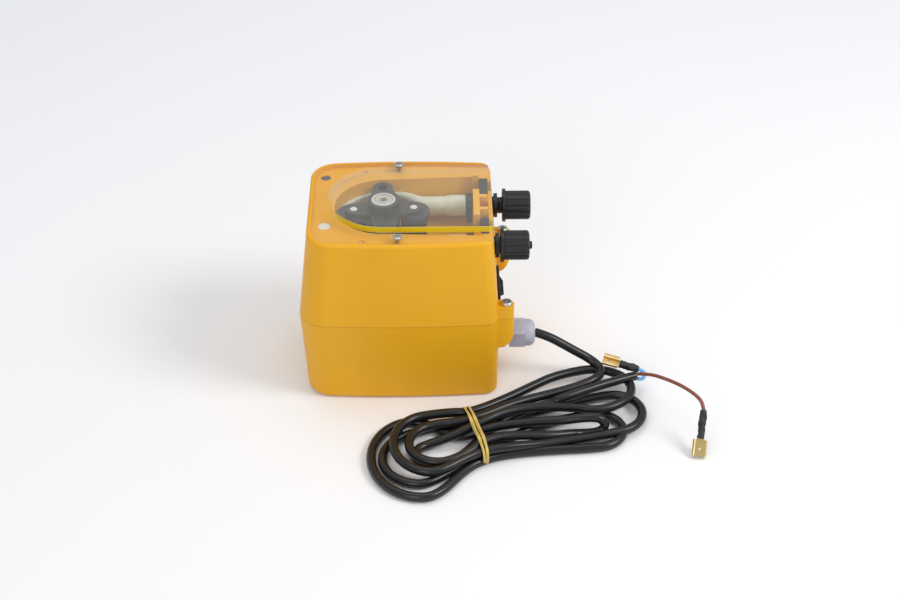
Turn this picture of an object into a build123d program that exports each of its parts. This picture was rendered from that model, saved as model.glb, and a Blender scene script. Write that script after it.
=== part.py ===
from build123d import *
import math
import os

# Hose dosing pump, lying on its back. +Z is the front with the clear cover, +X the side with the
# hose fittings and the cable gland. The origin is the centre of the flat back. Sizes in millimetres.

os.makedirs("parts", exist_ok=True)

# ---- Clearances ---------------------------------------------------------------------------------
RUN_GAP = 0.05  # radial, shaft in a bore
FIT_GAP = 0.15  # between seated parts
FREE_GAP = 0.3  # between parts that move past each other

# ---- Housing ------------------------------------------------------------------------------------
REAR_DEPTH = 64.7
FRONT_DEPTH = 62.7
BASE_LEFT = 64.0
BASE_RIGHT = 66.3
BASE_HALF = 51.3
SEAM_LEFT = 67.0
SEAM_RIGHT = 67.0
SEAM_HALF = 56.5
RIM_LEFT = 60.0
RIM_RIGHT = 62.7
RIM_HALF = 52.6
LEFT_CORNER = 18.0
RIGHT_CORNER = 8.0
SIDE_BOW = 3.0  # how far the long sides bulge
WALL = 2.5
BACK_EDGE = 4.0  # fillet round the back
SHOULDER = 2.0  # fillet round the front rim
RIM_WIDTH = 3.0
DECK = 2.5  # thickness of the deck under the cover
LIP_DEPTH = 3.0
LIP_WALL = 1.4
WALL_HOLE = 4.5
WALL_HOLE_X = 96.0  # spacing of the wall fixings
WALL_HOLE_Y = 72.0
WALL_PAD = 12.0
WALL_PAD_RISE = 2.5

# ---- Clear cover --------------------------------------------------------------------------------
COVER = 3.0
WINDOW_RISE = 5.6
WINDOW_WALL = 2.2
WINDOW_TOP_WALL = 2.0
WINDOW_MARGIN = 4.0  # window side beyond the raceway
COVER_SCREW_Y = 44.2
COVER_SCREW = 3.0
COVER_HEAD = 6.0
COVER_HEAD_H = 1.9
LUG = 8.6
LUG_RISE = 2.8

# ---- Pump chamber -------------------------------------------------------------------------------
AXIS_X = -9.8  # rotor axis
RACE_R = 33.0
LEG_SPREAD = 2.5
CHAMBER_END = 50.3
CHAMBER_DEPTH = 27.4
TUB_WALL = 3.0
TUB_FLOOR = 3.0
SLOT_WALL = 4.3
POCKET = 5.9
POCKET_HALF = 33.8
RIB = 3.2
RIB_Y = 7.6

# ---- Rotor --------------------------------------------------------------------------------------
REST_ANGLE = 2.5
ROTOR_GAP = 0.6  # rotor above the chamber floor
HUB = 21.5
HUB_RISE = 7.0  # hub above the arms
SHAFT = 6.0
ORBIT = 20.1  # roller pins from the axis
ROLLER = 18.0
ROLLER_LENGTH = 17.6
ROLLER_PIN = 5.0
LOWER_ARM = 1.8
CAP = 2.6  # discs over the rollers
CAP_R = 10.8
ARM = 2.8
ARM_END_R = 6.0
GUIDE_R = 6.6
GUIDE_ORBIT = 25.4
GUIDE_HOLE = 7.0
BEARING = 16.0
BEARING_BORE = 5.0
BEARING_WIDTH = 5.0
BEARING_RING = 1.7
BALLS = 7
GRUB = 4.0
GRUB_LENGTH = 6.0

# ---- Hose and fittings --------------------------------------------------------------------------
HOSE = 13.0
HOSE_WALL = 2.5
FLAT_HEIGHT = 14.0  # of the hose where it is pressed flat
FITTING_Y = 24.2
BARB = 9.6
BARB_LENGTH = 16.0
CLAMP = 4.4
CLAMP_WALL = 0.9
FLANGE = 18.5
NECK = 12.0
DISC = 16.6
DISC_T = 2.4
THREAD = 11.0
THREAD_LENGTH = 12.8
THREAD_PITCH = 2.0
NIPPLE = 5.3
NIPPLE_LENGTH = 9.2
NIPPLE_BORE = 3.6
NUT = 19.8
NUT_LENGTH = 19.3
NUT_RING = 22.8
NUT_RING_T = 2.2
NUT_MOUTH = 8.4
NUT_END_WALL = 2.6
FLUTES = 14
FLUTE_R = 1.5
PINCH_RING = 3.4
REAR_NUT_BACKED_OFF = 3.2
FRONT_NUT_BACKED_OFF = 0.5

# ---- Drive --------------------------------------------------------------------------------------
MODULE = 1.0
WHEEL_TEETH = 36
PINION_TEETH = 12
PRESSURE_ANGLE = 20.0
BACKLASH = 0.25
WHEEL_T = 4.0
CASE_WALL = 2.0
CASE_TOP = 3.0
CASE_MARGIN = 1.6  # wheel tip to case wall
MOTOR_PLATE = 2.0
BUSH = 10.0
IDLER_PIN = 3.0
MOTOR = 56.0
MOTOR_LENGTH = 28.0
MOTOR_SHAFT = 3.0
MAGNET = 24.0
MOTOR_EAR_Y = 33.0
CASE_SCREW = 3.5

# ---- Cable gland, switch, wiring ----------------------------------------------------------------
GLAND_Y = -23.0
GLAND_Z = 34.6
GLAND_THREAD = 15.2
GLAND_HEX = 19.0  # across flats
GLAND_DOME = 18.6
GLAND_FLANGE = 5.0
CAP_START = 3.2  # gap between the gland's hexagon and its cap
CAP_LENGTH = 17.6
CAP_THREAD = 7.0
CAP_HEX_LENGTH = 10.5
LOCKNUT = 4.7
GLAND_THREAD_WALL = 1.7
CABLE = 6.3
CORE = 2.5
SWITCH_Y = -22.0
SWITCH_Z = 76.2
SWITCH_LONG = 21.0
SWITCH_SHORT = 15.0
SWITCH_DEEP = 14.0
BEZEL = 1.8
ROCKER_TILT = 9.0
ROCKER_PIVOT = 1.0  # behind the wall's face
BLOCK_X = 34.0
BLOCK_LENGTH = 22.0
BLOCK_WIDTH = 16.0
BLOCK_HEIGHT = 13.0

# ---- Shell screws -------------------------------------------------------------------------------
EAR_X = 72.0
EAR_Y = 43.8
EAR_R = 5.0
EAR_RISE = 9.5
EAR_DROP = 10.7
EAR_TAPER = 13.0
EAR_SCREW = 4.0
EAR_HEAD = 7.5
EAR_HEAD_H = 2.6

# ---- Levels worked out from the sizes above -----------------------------------------------------
SEAM_Z = REAR_DEPTH
RIM_Z = SEAM_Z + FRONT_DEPTH
DECK_Z = RIM_Z - COVER
WINDOW_Z = RIM_Z + WINDOW_RISE
COVER_SEAT_Z = RIM_Z + LUG_RISE - COVER_HEAD_H + 0.1
CHAMBER_Z = DECK_Z - CHAMBER_DEPTH
TUB_Z = CHAMBER_Z - TUB_FLOOR
LOWER_ARM_Z = CHAMBER_Z + ROTOR_GAP
ROLLER_Z = LOWER_ARM_Z + LOWER_ARM + FREE_GAP
CAP_Z = ROLLER_Z + ROLLER_LENGTH + FREE_GAP
ARM_Z = CAP_Z + CAP
HUB_Z = ARM_Z + ARM + HUB_RISE
BEARING_Z = HUB_Z - BEARING_WIDTH
HOSE_Z = ROLLER_Z + ROLLER_LENGTH / 2
REACH = ORBIT + ROLLER / 2  # outermost point that a roller passes
POCKET_X = CHAMBER_END + SLOT_WALL
POCKET_END = POCKET_X + POCKET
WINDOW_END = RIM_RIGHT - FIT_GAP
RIB_TOP_END = WINDOW_END - WINDOW_WALL - FREE_GAP
WHEEL_R = MODULE * WHEEL_TEETH / 2
GEAR_CENTRES = MODULE * (WHEEL_TEETH + PINION_TEETH) / 2
IDLER_X = AXIS_X + GEAR_CENTRES
CASE_TOP_Z = TUB_Z - CASE_TOP
OUTPUT_GEAR_Z = CASE_TOP_Z - 5.5
SHAFT_Z = OUTPUT_GEAR_Z - 1.0
IDLER_Z = SHAFT_Z - 2.5 - WHEEL_T
MOTOR_TOP_Z = IDLER_Z - 2.0 - MOTOR_PLATE
CASE_R = WHEEL_R + MODULE + CASE_MARGIN
ROTOR_PLANE = Plane(
    origin=(AXIS_X, 0, 0),
    x_dir=(math.cos(math.radians(REST_ANGLE)), math.sin(math.radians(REST_ANGLE)), 0),
    z_dir=(0, 0, 1),
)
AXIS_PLANE = Plane.XY.move(Location((AXIS_X, 0, 0)))


def level(z):
    """How far the housing's outside reaches left, right and to each side at height z."""
    if z <= SEAM_Z:
        low = (BASE_LEFT, BASE_RIGHT, BASE_HALF)
        high = (SEAM_LEFT, SEAM_RIGHT, SEAM_HALF)
        share = z / SEAM_Z
    else:
        low = (SEAM_LEFT, SEAM_RIGHT, SEAM_HALF)
        high = (RIM_LEFT, RIM_RIGHT, RIM_HALF)
        share = (z - SEAM_Z) / (RIM_Z - SEAM_Z)
    return [a + (b - a) * share for a, b in zip(low, high)]


def bowed_outline(z, left, right, half, left_corner, right_corner):
    """Plan at height z: straight ends, long sides that bulge a little, rounded corners."""
    middle = (right - left) / 2
    with BuildSketch(Plane.XY.offset(z)) as outline:
        with BuildLine():
            far = ThreePointArc((right, half - SIDE_BOW), (middle, half), (-left, half - SIDE_BOW))
            Line(far @ 1, (-left, SIDE_BOW - half))
            near = ThreePointArc((-left, SIDE_BOW - half), (middle, -half), (right, SIDE_BOW - half))
            Line(near @ 1, far @ 0)
        make_face()
        fillet(outline.vertices().group_by(Axis.X)[0], left_corner)
        fillet(outline.vertices().group_by(Axis.X)[-1], right_corner)
    return outline.sketch


def housing_section(z, inset=0.0):
    """The housing's outside at height z, moved inwards by inset."""
    left, right, half = level(z)
    return bowed_outline(
        z, left - inset, right - inset, half - inset, LEFT_CORNER - inset, RIGHT_CORNER - inset
    )


def cover_section(z, gap=0.0, overrun=0.0):
    """The clear cover's plate: inside the rim on three sides, flush with the fittings' side."""
    left, right, half = level(RIM_Z)
    inset = RIM_WIDTH - gap
    return bowed_outline(
        z,
        left - inset,
        right - FIT_GAP + overrun,
        half - inset,
        LEFT_CORNER - inset,
        RIGHT_CORNER - inset,
    )


def chamber_section(z, end, margin=0.0, spread=LEG_SPREAD, corner=0.0):
    """Plan of the pump chamber: a half round raceway and two straight legs towards the fittings."""
    radius = RACE_R + margin
    with BuildSketch(Plane.XY.offset(z)) as section:
        with BuildLine():
            race = ThreePointArc((AXIS_X, radius), (AXIS_X - radius, 0), (AXIS_X, -radius))
            Line(race @ 1, (end, -radius - spread))
            Line((end, -radius - spread), (end, radius + spread))
            Line((end, radius + spread), race @ 0)
        make_face()
        if corner:
            fillet(section.vertices().group_by(Axis.X)[-1], corner)
    return section.sketch


def box_between(low, high):
    """A box from its lowest to its highest corner."""
    with BuildPart(Plane(origin=low)) as block:
        Box(*[b - a for a, b in zip(low, high)], align=Align.MIN)
    return block.part


def rod_z(radius, low, high, x, y):
    """A round rod along Z."""
    with BuildPart(Plane(origin=(x, y, low))) as rod:
        Cylinder(radius, high - low, align=(Align.CENTER, Align.CENTER, Align.MIN))
    return rod.part


def rod_x(radius, start, end, y, z):
    """A round rod along X."""
    with BuildPart(Plane(origin=(start, y, z), z_dir=(1, 0, 0))) as rod:
        Cylinder(radius, end - start, align=(Align.CENTER, Align.CENTER, Align.MIN))
    return rod.part


def across(x, y, z):
    """A plane across X whose own axes are +Y and +Z."""
    return Plane(origin=(x, y, z), x_dir=(0, 1, 0), z_dir=(1, 0, 0))


def turned_x(profile, x, y, z):
    """A piece turned about an axis along X, from its half profile of (distance along X, radius)."""
    with BuildPart() as turned:
        with BuildSketch(Plane(origin=(x, y, z), x_dir=(1, 0, 0), z_dir=(0, -1, 0))):
            with BuildLine():
                Polyline(*profile, close=True)
            make_face()
        revolve(axis=Axis((x, y, z), (1, 0, 0)))
    return turned.part


def gear_section(plane, teeth, first_tooth):
    """Plan of a spur gear with straight flanks. One tooth points along first_tooth degrees."""
    pitch_r = MODULE * teeth / 2
    base_r = pitch_r * math.cos(math.radians(PRESSURE_ANGLE))
    tip_r = pitch_r + 0.9 * MODULE
    root_r = pitch_r - 1.25 * MODULE
    flank_r = max(base_r, root_r)
    at_pitch = math.pi / 2 / teeth - BACKLASH / 2 / pitch_r

    def half_angle(radius):
        slope = math.acos(base_r / radius)
        pitch_slope = math.radians(PRESSURE_ANGLE)
        return at_pitch + (math.tan(pitch_slope) - pitch_slope) - (math.tan(slope) - slope)

    low = half_angle(flank_r)
    high = half_angle(tip_r)
    tooth = [(root_r, -low), (flank_r, -low), (tip_r, -high), (tip_r, high), (flank_r, low), (root_r, low)]
    if root_r >= base_r:
        tooth = tooth[1:-1]
    outline = []
    for i in range(teeth):
        turn = math.radians(first_tooth + 360 * i / teeth)
        outline += [(r * math.cos(turn + a), r * math.sin(turn + a)) for r, a in tooth]
    with BuildSketch(plane) as section:
        with BuildLine():
            Polyline(*outline, close=True)
        make_face()
    return section.sketch


# ---- Rear shell ---------------------------------------------------------------------------------
def ear_plan(z, y):
    """Plan of one screw ear: a tongue from the wall round to the screw."""
    with BuildSketch(Plane.XY.offset(z)) as plan:
        with Locations((EAR_X, y)):
            Circle(EAR_R)
        with Locations(((EAR_X + SEAM_RIGHT - WALL * 0.7) / 2, y)):
            Rectangle(EAR_X - SEAM_RIGHT + WALL * 0.7, 2 * EAR_R)
    return plan.sketch


EAR_LOW_Z = SEAM_Z - EAR_DROP
EAR_FOOT_Z = EAR_LOW_Z - EAR_TAPER

with BuildPart() as rear_ears:
    for side in (-1, 1):
        extrude(ear_plan(EAR_FOOT_Z, side * EAR_Y), amount=SEAM_Z - EAR_FOOT_Z)
    with BuildSketch(Plane.XZ):
        with BuildLine():
            outer = EAR_X + EAR_R + 1
            inner = SEAM_RIGHT - WALL * 0.7 - 1
            Line((inner, EAR_FOOT_Z), (inner, SEAM_Z))
            Line((inner, SEAM_Z), (outer, SEAM_Z))
            Line((outer, SEAM_Z), (outer, EAR_LOW_Z))
            ThreePointArc(
                (outer, EAR_LOW_Z),
                (outer - 3.2, EAR_LOW_Z - 0.62 * EAR_TAPER),
                (inner, EAR_FOOT_Z),
            )
        make_face()
    extrude(amount=SEAM_HALF, both=True, mode=Mode.INTERSECT)
    for side in (-1, 1):
        pilot = rod_z(EAR_SCREW / 2 + RUN_GAP, SEAM_Z - 16, SEAM_Z + 1, EAR_X, side * EAR_Y)
        add(pilot, mode=Mode.SUBTRACT)

BASE_MIDDLE = (BASE_RIGHT - BASE_LEFT) / 2
WALL_HOLE_POINTS = [
    (BASE_MIDDLE + sx * WALL_HOLE_X / 2, sy * WALL_HOLE_Y / 2) for sx in (-1, 1) for sy in (-1, 1)
]
GLAND_WALL_X = level(GLAND_Z)[1]  # outside of the wall at the gland
GLAND_INSIDE_X = level(GLAND_Z)[1] - WALL
BLOCK_Y = GLAND_Y

with BuildPart() as rear_shell:
    loft([housing_section(0), housing_section(SEAM_Z)], ruled=True)
    fillet(rear_shell.faces().sort_by(Axis.Z)[0].edges(), BACK_EDGE)
    loft([housing_section(WALL, WALL), housing_section(SEAM_Z, WALL)], ruled=True, mode=Mode.SUBTRACT)
    add(rear_ears.part)
    with BuildSketch(Plane.XY.offset(WALL)):
        with Locations(*WALL_HOLE_POINTS):
            Circle(WALL_PAD / 2)
    extrude(amount=WALL_PAD_RISE)
    with BuildSketch(Plane.XY):
        with Locations(*WALL_HOLE_POINTS):
            Circle(WALL_HOLE / 2)
    extrude(amount=WALL + WALL_PAD_RISE, mode=Mode.SUBTRACT)
    with BuildSketch(Plane.XY.offset(WALL)):
        with Locations((BLOCK_X, BLOCK_Y)):
            with GridLocations(BLOCK_LENGTH - 5, 0, 2, 1):
                Circle(3.5)
    extrude(amount=WALL_PAD_RISE)
    gland_hole = rod_x(GLAND_THREAD / 2 + FIT_GAP, GLAND_INSIDE_X - 2, EAR_X, GLAND_Y, GLAND_Z)
    add(gland_hole, mode=Mode.SUBTRACT)

# ---- Front shell --------------------------------------------------------------------------------
CASE_SPIGOT = 14.0
CASE_BOSS_R = 4.2
CASE_BOSS = 9.0  # length of the bosses under the tub
CASE_EAR_R = 5.5
CASE_EAR_T = 3.5
CASE_EAR_TURN = 20.0  # degrees past square
CASE_EAR_REACH = CASE_R + CASE_WALL + CASE_BOSS_R + FREE_GAP
CASE_EAR_POINTS = [
    (
        x + way * CASE_EAR_REACH * math.sin(math.radians(CASE_EAR_TURN)),
        side * CASE_EAR_REACH * math.cos(math.radians(CASE_EAR_TURN)),
    )
    for x, way in ((AXIS_X, -1), (IDLER_X, 1))
    for side in (-1, 1)
]
CASE_EAR_Z = TUB_Z - CASE_BOSS
DECK_SCREW_POINT = (-50.0, 35.8)
DECK_PLUG_POINT = (-48.6, -23.5)
DECK_PIT_POINTS = [(-23.6, -42.6), (-23.6, 42.6)]
SLOT_R = 8.4
SWITCH_SLOPE = math.degrees(math.atan((SEAM_RIGHT - RIM_RIGHT) / (RIM_Z - SEAM_Z)))
SWITCH_PLANE = Plane(
    origin=(level(SWITCH_Z)[1], SWITCH_Y, SWITCH_Z),
    x_dir=(0, 1, 0),
    z_dir=(math.cos(math.radians(SWITCH_SLOPE)), 0, math.sin(math.radians(SWITCH_SLOPE))),
)

with BuildPart() as front_shell:
    loft([housing_section(SEAM_Z), housing_section(RIM_Z)], ruled=True)
    fillet(front_shell.faces().sort_by(Axis.Z)[-1].edges(), SHOULDER)
    loft([housing_section(SEAM_Z, WALL), housing_section(DECK_Z - DECK, WALL)], ruled=True, mode=Mode.SUBTRACT)
    extrude(cover_section(DECK_Z, FIT_GAP, 2.0), amount=COVER + 1, mode=Mode.SUBTRACT)
    # the tub that holds the pump chamber, joined to the wall behind the fittings
    loft(
        [
            chamber_section(TUB_Z, level(TUB_Z)[1] - WALL / 2, TUB_WALL),
            chamber_section(DECK_Z, level(DECK_Z)[1] - WALL / 2, TUB_WALL),
        ],
        ruled=True,
    )
    for side in (-1, 1):
        add(rod_z(4.0, DECK_Z - 14, DECK_Z, 0, side * COVER_SCREW_Y))
    for x, y in CASE_EAR_POINTS:
        add(rod_z(CASE_BOSS_R, CASE_EAR_Z, TUB_Z, x, y))
    # the slotted wall stands up into the window
    add(box_between((CHAMBER_END, -RACE_R - 1, TUB_Z), (POCKET_X, RACE_R + 1, RIM_Z)))
    extrude(chamber_section(CHAMBER_Z, CHAMBER_END), amount=CHAMBER_DEPTH + 1, mode=Mode.SUBTRACT)
    add(
        box_between((POCKET_X, -POCKET_HALF, HOSE_Z - FLANGE / 2 - FREE_GAP), (POCKET_END, POCKET_HALF, RIM_Z)),
        mode=Mode.SUBTRACT,
    )
    for side in (-1, 1):
        rib_low = side * RIB_Y - RIB / 2
        add(box_between((POCKET_X - 0.1, rib_low, TUB_Z + 1), (POCKET_END + 0.1, rib_low + RIB, DECK_Z)))
        add(box_between((POCKET_X - 0.1, rib_low, DECK_Z - 1), (RIB_TOP_END, rib_low + RIB, RIM_Z)))
        for radius, start, end in (
            (SLOT_R, CHAMBER_END - 1, POCKET_X + 0.1),
            (NECK / 2 + FIT_GAP, POCKET_END - 0.1, SEAM_RIGHT),
        ):
            add(rod_x(radius, start, end, side * FITTING_Y, HOSE_Z), mode=Mode.SUBTRACT)
            add(
                box_between(
                    (start, side * FITTING_Y - radius, HOSE_Z),
                    (end, side * FITTING_Y + radius, RIM_Z + 1),
                ),
                mode=Mode.SUBTRACT,
            )
    # screw ears over those of the rear shell
    for side in (-1, 1):
        extrude(ear_plan(SEAM_Z, side * EAR_Y), amount=EAR_RISE)
    # lip that locates the two shells
    extrude(housing_section(SEAM_Z, WALL - 0.1), amount=LIP_DEPTH)
    extrude(housing_section(SEAM_Z - LIP_DEPTH, WALL + 3 * FIT_GAP), amount=LIP_DEPTH)
    extrude(
        housing_section(SEAM_Z - LIP_DEPTH, WALL + 3 * FIT_GAP + LIP_WALL),
        amount=2 * LIP_DEPTH,
        mode=Mode.SUBTRACT,
    )
    # screw holes
    for side in (-1, 1):
        pilot = rod_z(COVER_SCREW / 2 + RUN_GAP, DECK_Z - 12, DECK_Z + 1, 0, side * COVER_SCREW_Y)
        add(pilot, mode=Mode.SUBTRACT)
        clear_hole = rod_z(
            EAR_SCREW / 2 + FIT_GAP, SEAM_Z - 1, SEAM_Z + EAR_RISE + 1, EAR_X, side * EAR_Y
        )
        add(clear_hole, mode=Mode.SUBTRACT)
    for x, y in CASE_EAR_POINTS:
        add(rod_z(CASE_SCREW / 2 + RUN_GAP, CASE_EAR_Z - 1, TUB_Z + 1, x, y), mode=Mode.SUBTRACT)
    add(rod_z(CASE_SPIGOT / 2 + FIT_GAP, TUB_Z - 1, CHAMBER_Z + 1, AXIS_X, 0), mode=Mode.SUBTRACT)
    # what shows on the deck through the cover
    add(rod_z(3.5, DECK_Z - 1.6, DECK_Z + 1, *DECK_SCREW_POINT), mode=Mode.SUBTRACT)
    add(rod_z(1.6, DECK_Z - DECK - 1, DECK_Z, *DECK_SCREW_POINT), mode=Mode.SUBTRACT)
    add(rod_z(4.15, DECK_Z - 1.0, DECK_Z + 1, *DECK_PLUG_POINT), mode=Mode.SUBTRACT)
    add(rod_z(3.15, DECK_Z - DECK - 1, DECK_Z, *DECK_PLUG_POINT), mode=Mode.SUBTRACT)
    for x, y in DECK_PIT_POINTS:
        add(rod_z(2.3, DECK_Z - 1.2, DECK_Z + 1, x, y), mode=Mode.SUBTRACT)
    with BuildSketch(SWITCH_PLANE.offset(-2 * WALL)):
        Rectangle(SWITCH_LONG - 2 + 2 * FIT_GAP, SWITCH_SHORT - 2 + 2 * FIT_GAP)
    extrude(amount=4 * WALL, mode=Mode.SUBTRACT)

# ---- Clear cover --------------------------------------------------------------------------------
with BuildPart() as clear_cover:
    extrude(cover_section(DECK_Z), amount=COVER)
    extrude(chamber_section(DECK_Z, WINDOW_END, WINDOW_MARGIN, 0, 3.0), amount=WINDOW_Z - DECK_Z)
    fillet(clear_cover.faces().sort_by(Axis.Z)[-1].edges(), 1.2)
    extrude(
        chamber_section(
            DECK_Z, WINDOW_END - WINDOW_WALL, WINDOW_MARGIN - WINDOW_WALL, 0, 3.0 - WINDOW_WALL / 2
        ),
        amount=WINDOW_Z - WINDOW_TOP_WALL - DECK_Z,
        mode=Mode.SUBTRACT,
    )
    for side in (-1, 1):
        add(rod_z(LUG / 2, DECK_Z, RIM_Z + LUG_RISE, 0, side * COVER_SCREW_Y))
        counterbore = rod_z(COVER_HEAD / 2 + FREE_GAP, COVER_SEAT_Z, WINDOW_Z, 0, side * COVER_SCREW_Y)
        add(counterbore, mode=Mode.SUBTRACT)
        through = rod_z(COVER_SCREW / 2 + FIT_GAP, DECK_Z - 1, WINDOW_Z, 0, side * COVER_SCREW_Y)
        add(through, mode=Mode.SUBTRACT)
    # the pin that steadies the rotor
    add(rod_z(BEARING_BORE / 2 + 1.5, HUB_Z + 0.3, WINDOW_Z - 1, AXIS_X, 0))
    add(rod_z(BEARING_BORE / 2, BEARING_Z + 0.4, WINDOW_Z - 1, AXIS_X, 0))


# ---- Screws -------------------------------------------------------------------------------------
def pan_screw(x, y, seat_z, thread, length, head, head_height):
    """A cross-head pan screw standing along Z, head upwards."""
    seat = Plane(origin=(x, y, seat_z))
    with BuildPart() as screw:
        with BuildSketch(seat):
            Circle(head / 2)
        extrude(amount=head_height)
        fillet(screw.faces().sort_by(Axis.Z)[-1].edges(), head_height * 0.45)
        with BuildSketch(seat.offset(head_height)):
            Rectangle(head * 0.55, head * 0.14)
            Rectangle(head * 0.14, head * 0.55)
        extrude(amount=-head_height * 0.5, mode=Mode.SUBTRACT)
        with BuildSketch(seat):
            Circle(thread / 2)
        extrude(amount=-length)
        chamfer(screw.faces().sort_by(Axis.Z)[0].edges(), thread * 0.15)
    return screw.part


with BuildPart() as cover_screws:
    for side in (-1, 1):
        add(pan_screw(0, side * COVER_SCREW_Y, COVER_SEAT_Z, COVER_SCREW, 15, COVER_HEAD, COVER_HEAD_H))

with BuildPart() as shell_screws:
    for side in (-1, 1):
        add(pan_screw(EAR_X, side * EAR_Y, SEAM_Z + EAR_RISE, EAR_SCREW, 23, EAR_HEAD, EAR_HEAD_H))

with BuildPart() as deck_screw:
    add(pan_screw(*DECK_SCREW_POINT, DECK_Z - 1.6, 3.0, 8, 6.0, 1.4))

with BuildPart() as deck_plug:
    add(rod_z(4.0, DECK_Z - 1.0, DECK_Z - 0.1, *DECK_PLUG_POINT))
    add(rod_z(3.05, DECK_Z - DECK - 1.5, DECK_Z - 0.5, *DECK_PLUG_POINT))

# ---- Hose ---------------------------------------------------------------------------------------
# The raceway part is pressed flat, as under a roller, and the legs open out to the round hose.
FLAT_INNER = REACH + FREE_GAP
FLAT = RACE_R - RUN_GAP - FLAT_INNER
HOSE_END = CHAMBER_END - 0.3
BARB_X = HOSE_END - BARB_LENGTH
STRETCHED = BARB + 2 * HOSE_WALL
HOSE_FLAT = 0.2  # half of the flat left between two roundings
# distance past the rotor axis, inner face, thickness, height of the hose along a leg
LEG_STATIONS = [
    (0.0, FLAT_INNER, FLAT, FLAT_HEIGHT),
    (8.0, FLAT_INNER - 0.8, FLAT + 0.9, FLAT_HEIGHT),
    (16.0, FLAT_INNER - 4.1, 7.7, FLAT_HEIGHT),
    (22.0, FLAT_INNER - 9.0, 11.0, HOSE + 0.4),
    (28.0, FITTING_Y - HOSE / 2, HOSE, HOSE),
]
BORE_STATIONS = [
    (14.0, FLAT_INNER - 2.0, 0.6, FLAT_HEIGHT - 2 * HOSE_WALL),
    (18.0, FLAT_INNER - 3.2, 3.6, FLAT_HEIGHT - 2 * HOSE_WALL),
    (22.0, FLAT_INNER - 6.5, 6.0, HOSE + 0.4 - 2 * HOSE_WALL),
    (28.0, FITTING_Y - HOSE / 2 + HOSE_WALL, HOSE - 2 * HOSE_WALL, HOSE - 2 * HOSE_WALL),
]


def hose_section(x, side, inner, thickness, height):
    """A rounded section across one leg of the hose."""
    with BuildSketch(across(x, side * (inner + thickness / 2), HOSE_Z)) as section:
        RectangleRounded(thickness, height, min(thickness, height) / 2 - HOSE_FLAT)
    return section.sketch


def leg(stations, side):
    """Hose sections along the leg on one side."""
    return [hose_section(AXIS_X + past, side, *size) for past, *size in stations]


ROUND_HOSE = (FITTING_Y - HOSE / 2, HOSE, HOSE)
ROUND_BORE = (FITTING_Y - HOSE / 2 + HOSE_WALL, HOSE - 2 * HOSE_WALL, HOSE - 2 * HOSE_WALL)
OVER_BARB = (FITTING_Y - STRETCHED / 2, STRETCHED, STRETCHED)
ROUND_X = AXIS_X + LEG_STATIONS[-1][0]

with BuildPart() as pump_hose:
    with BuildSketch(across(AXIS_X, FLAT_INNER + FLAT / 2, HOSE_Z)):
        RectangleRounded(FLAT, FLAT_HEIGHT, FLAT / 2 - HOSE_FLAT)
    revolve(axis=Axis((AXIS_X, 0, HOSE_Z), (0, 0, 1)), revolution_arc=180)
    for side in (-1, 1):
        loft(leg(LEG_STATIONS, side))
        extrude(hose_section(ROUND_X, side, *ROUND_HOSE), amount=BARB_X - 3 - ROUND_X)
        widening = [hose_section(BARB_X - 3, side, *ROUND_HOSE), hose_section(BARB_X + 1, side, *OVER_BARB)]
        loft(widening, ruled=True)
        extrude(hose_section(BARB_X + 1, side, *OVER_BARB), amount=HOSE_END - BARB_X - 1)
    for side in (-1, 1):
        loft(leg(BORE_STATIONS, side), mode=Mode.SUBTRACT)
        extrude(hose_section(ROUND_X, side, *ROUND_BORE), amount=BARB_X + 0.5 - ROUND_X, mode=Mode.SUBTRACT)
        add(rod_x(BARB / 2 + RUN_GAP, BARB_X, HOSE_END, side * FITTING_Y, HOSE_Z), mode=Mode.SUBTRACT)

with BuildPart() as hose_clamps:
    for side in (-1, 1):
        outer = STRETCHED / 2 + CLAMP_WALL
        start = HOSE_END - CLAMP
        add(rod_x(outer, start, HOSE_END, side * FITTING_Y, HOSE_Z))
        add(
            box_between(
                (start + 0.6, side * FITTING_Y - 6.0, HOSE_Z - outer - 1.6),
                (HOSE_END - 0.6, side * FITTING_Y - 1.5, HOSE_Z - 5.5),
            )
        )
        seat = rod_x(STRETCHED / 2 + FIT_GAP, start - 1, HOSE_END + 1, side * FITTING_Y, HOSE_Z)
        add(seat, mode=Mode.SUBTRACT)


# ---- Hose fittings ------------------------------------------------------------------------------
DISC_X = level(HOSE_Z - DISC / 2)[1] + FIT_GAP
THREAD_X = DISC_X + DISC_T
THREAD_END = THREAD_X + THREAD_LENGTH
NIPPLE_END = THREAD_END + NIPPLE_LENGTH
NUT_TIGHT_X = THREAD_X + FREE_GAP
BARB_ROOT = BARB / 2 - 0.9


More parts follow.
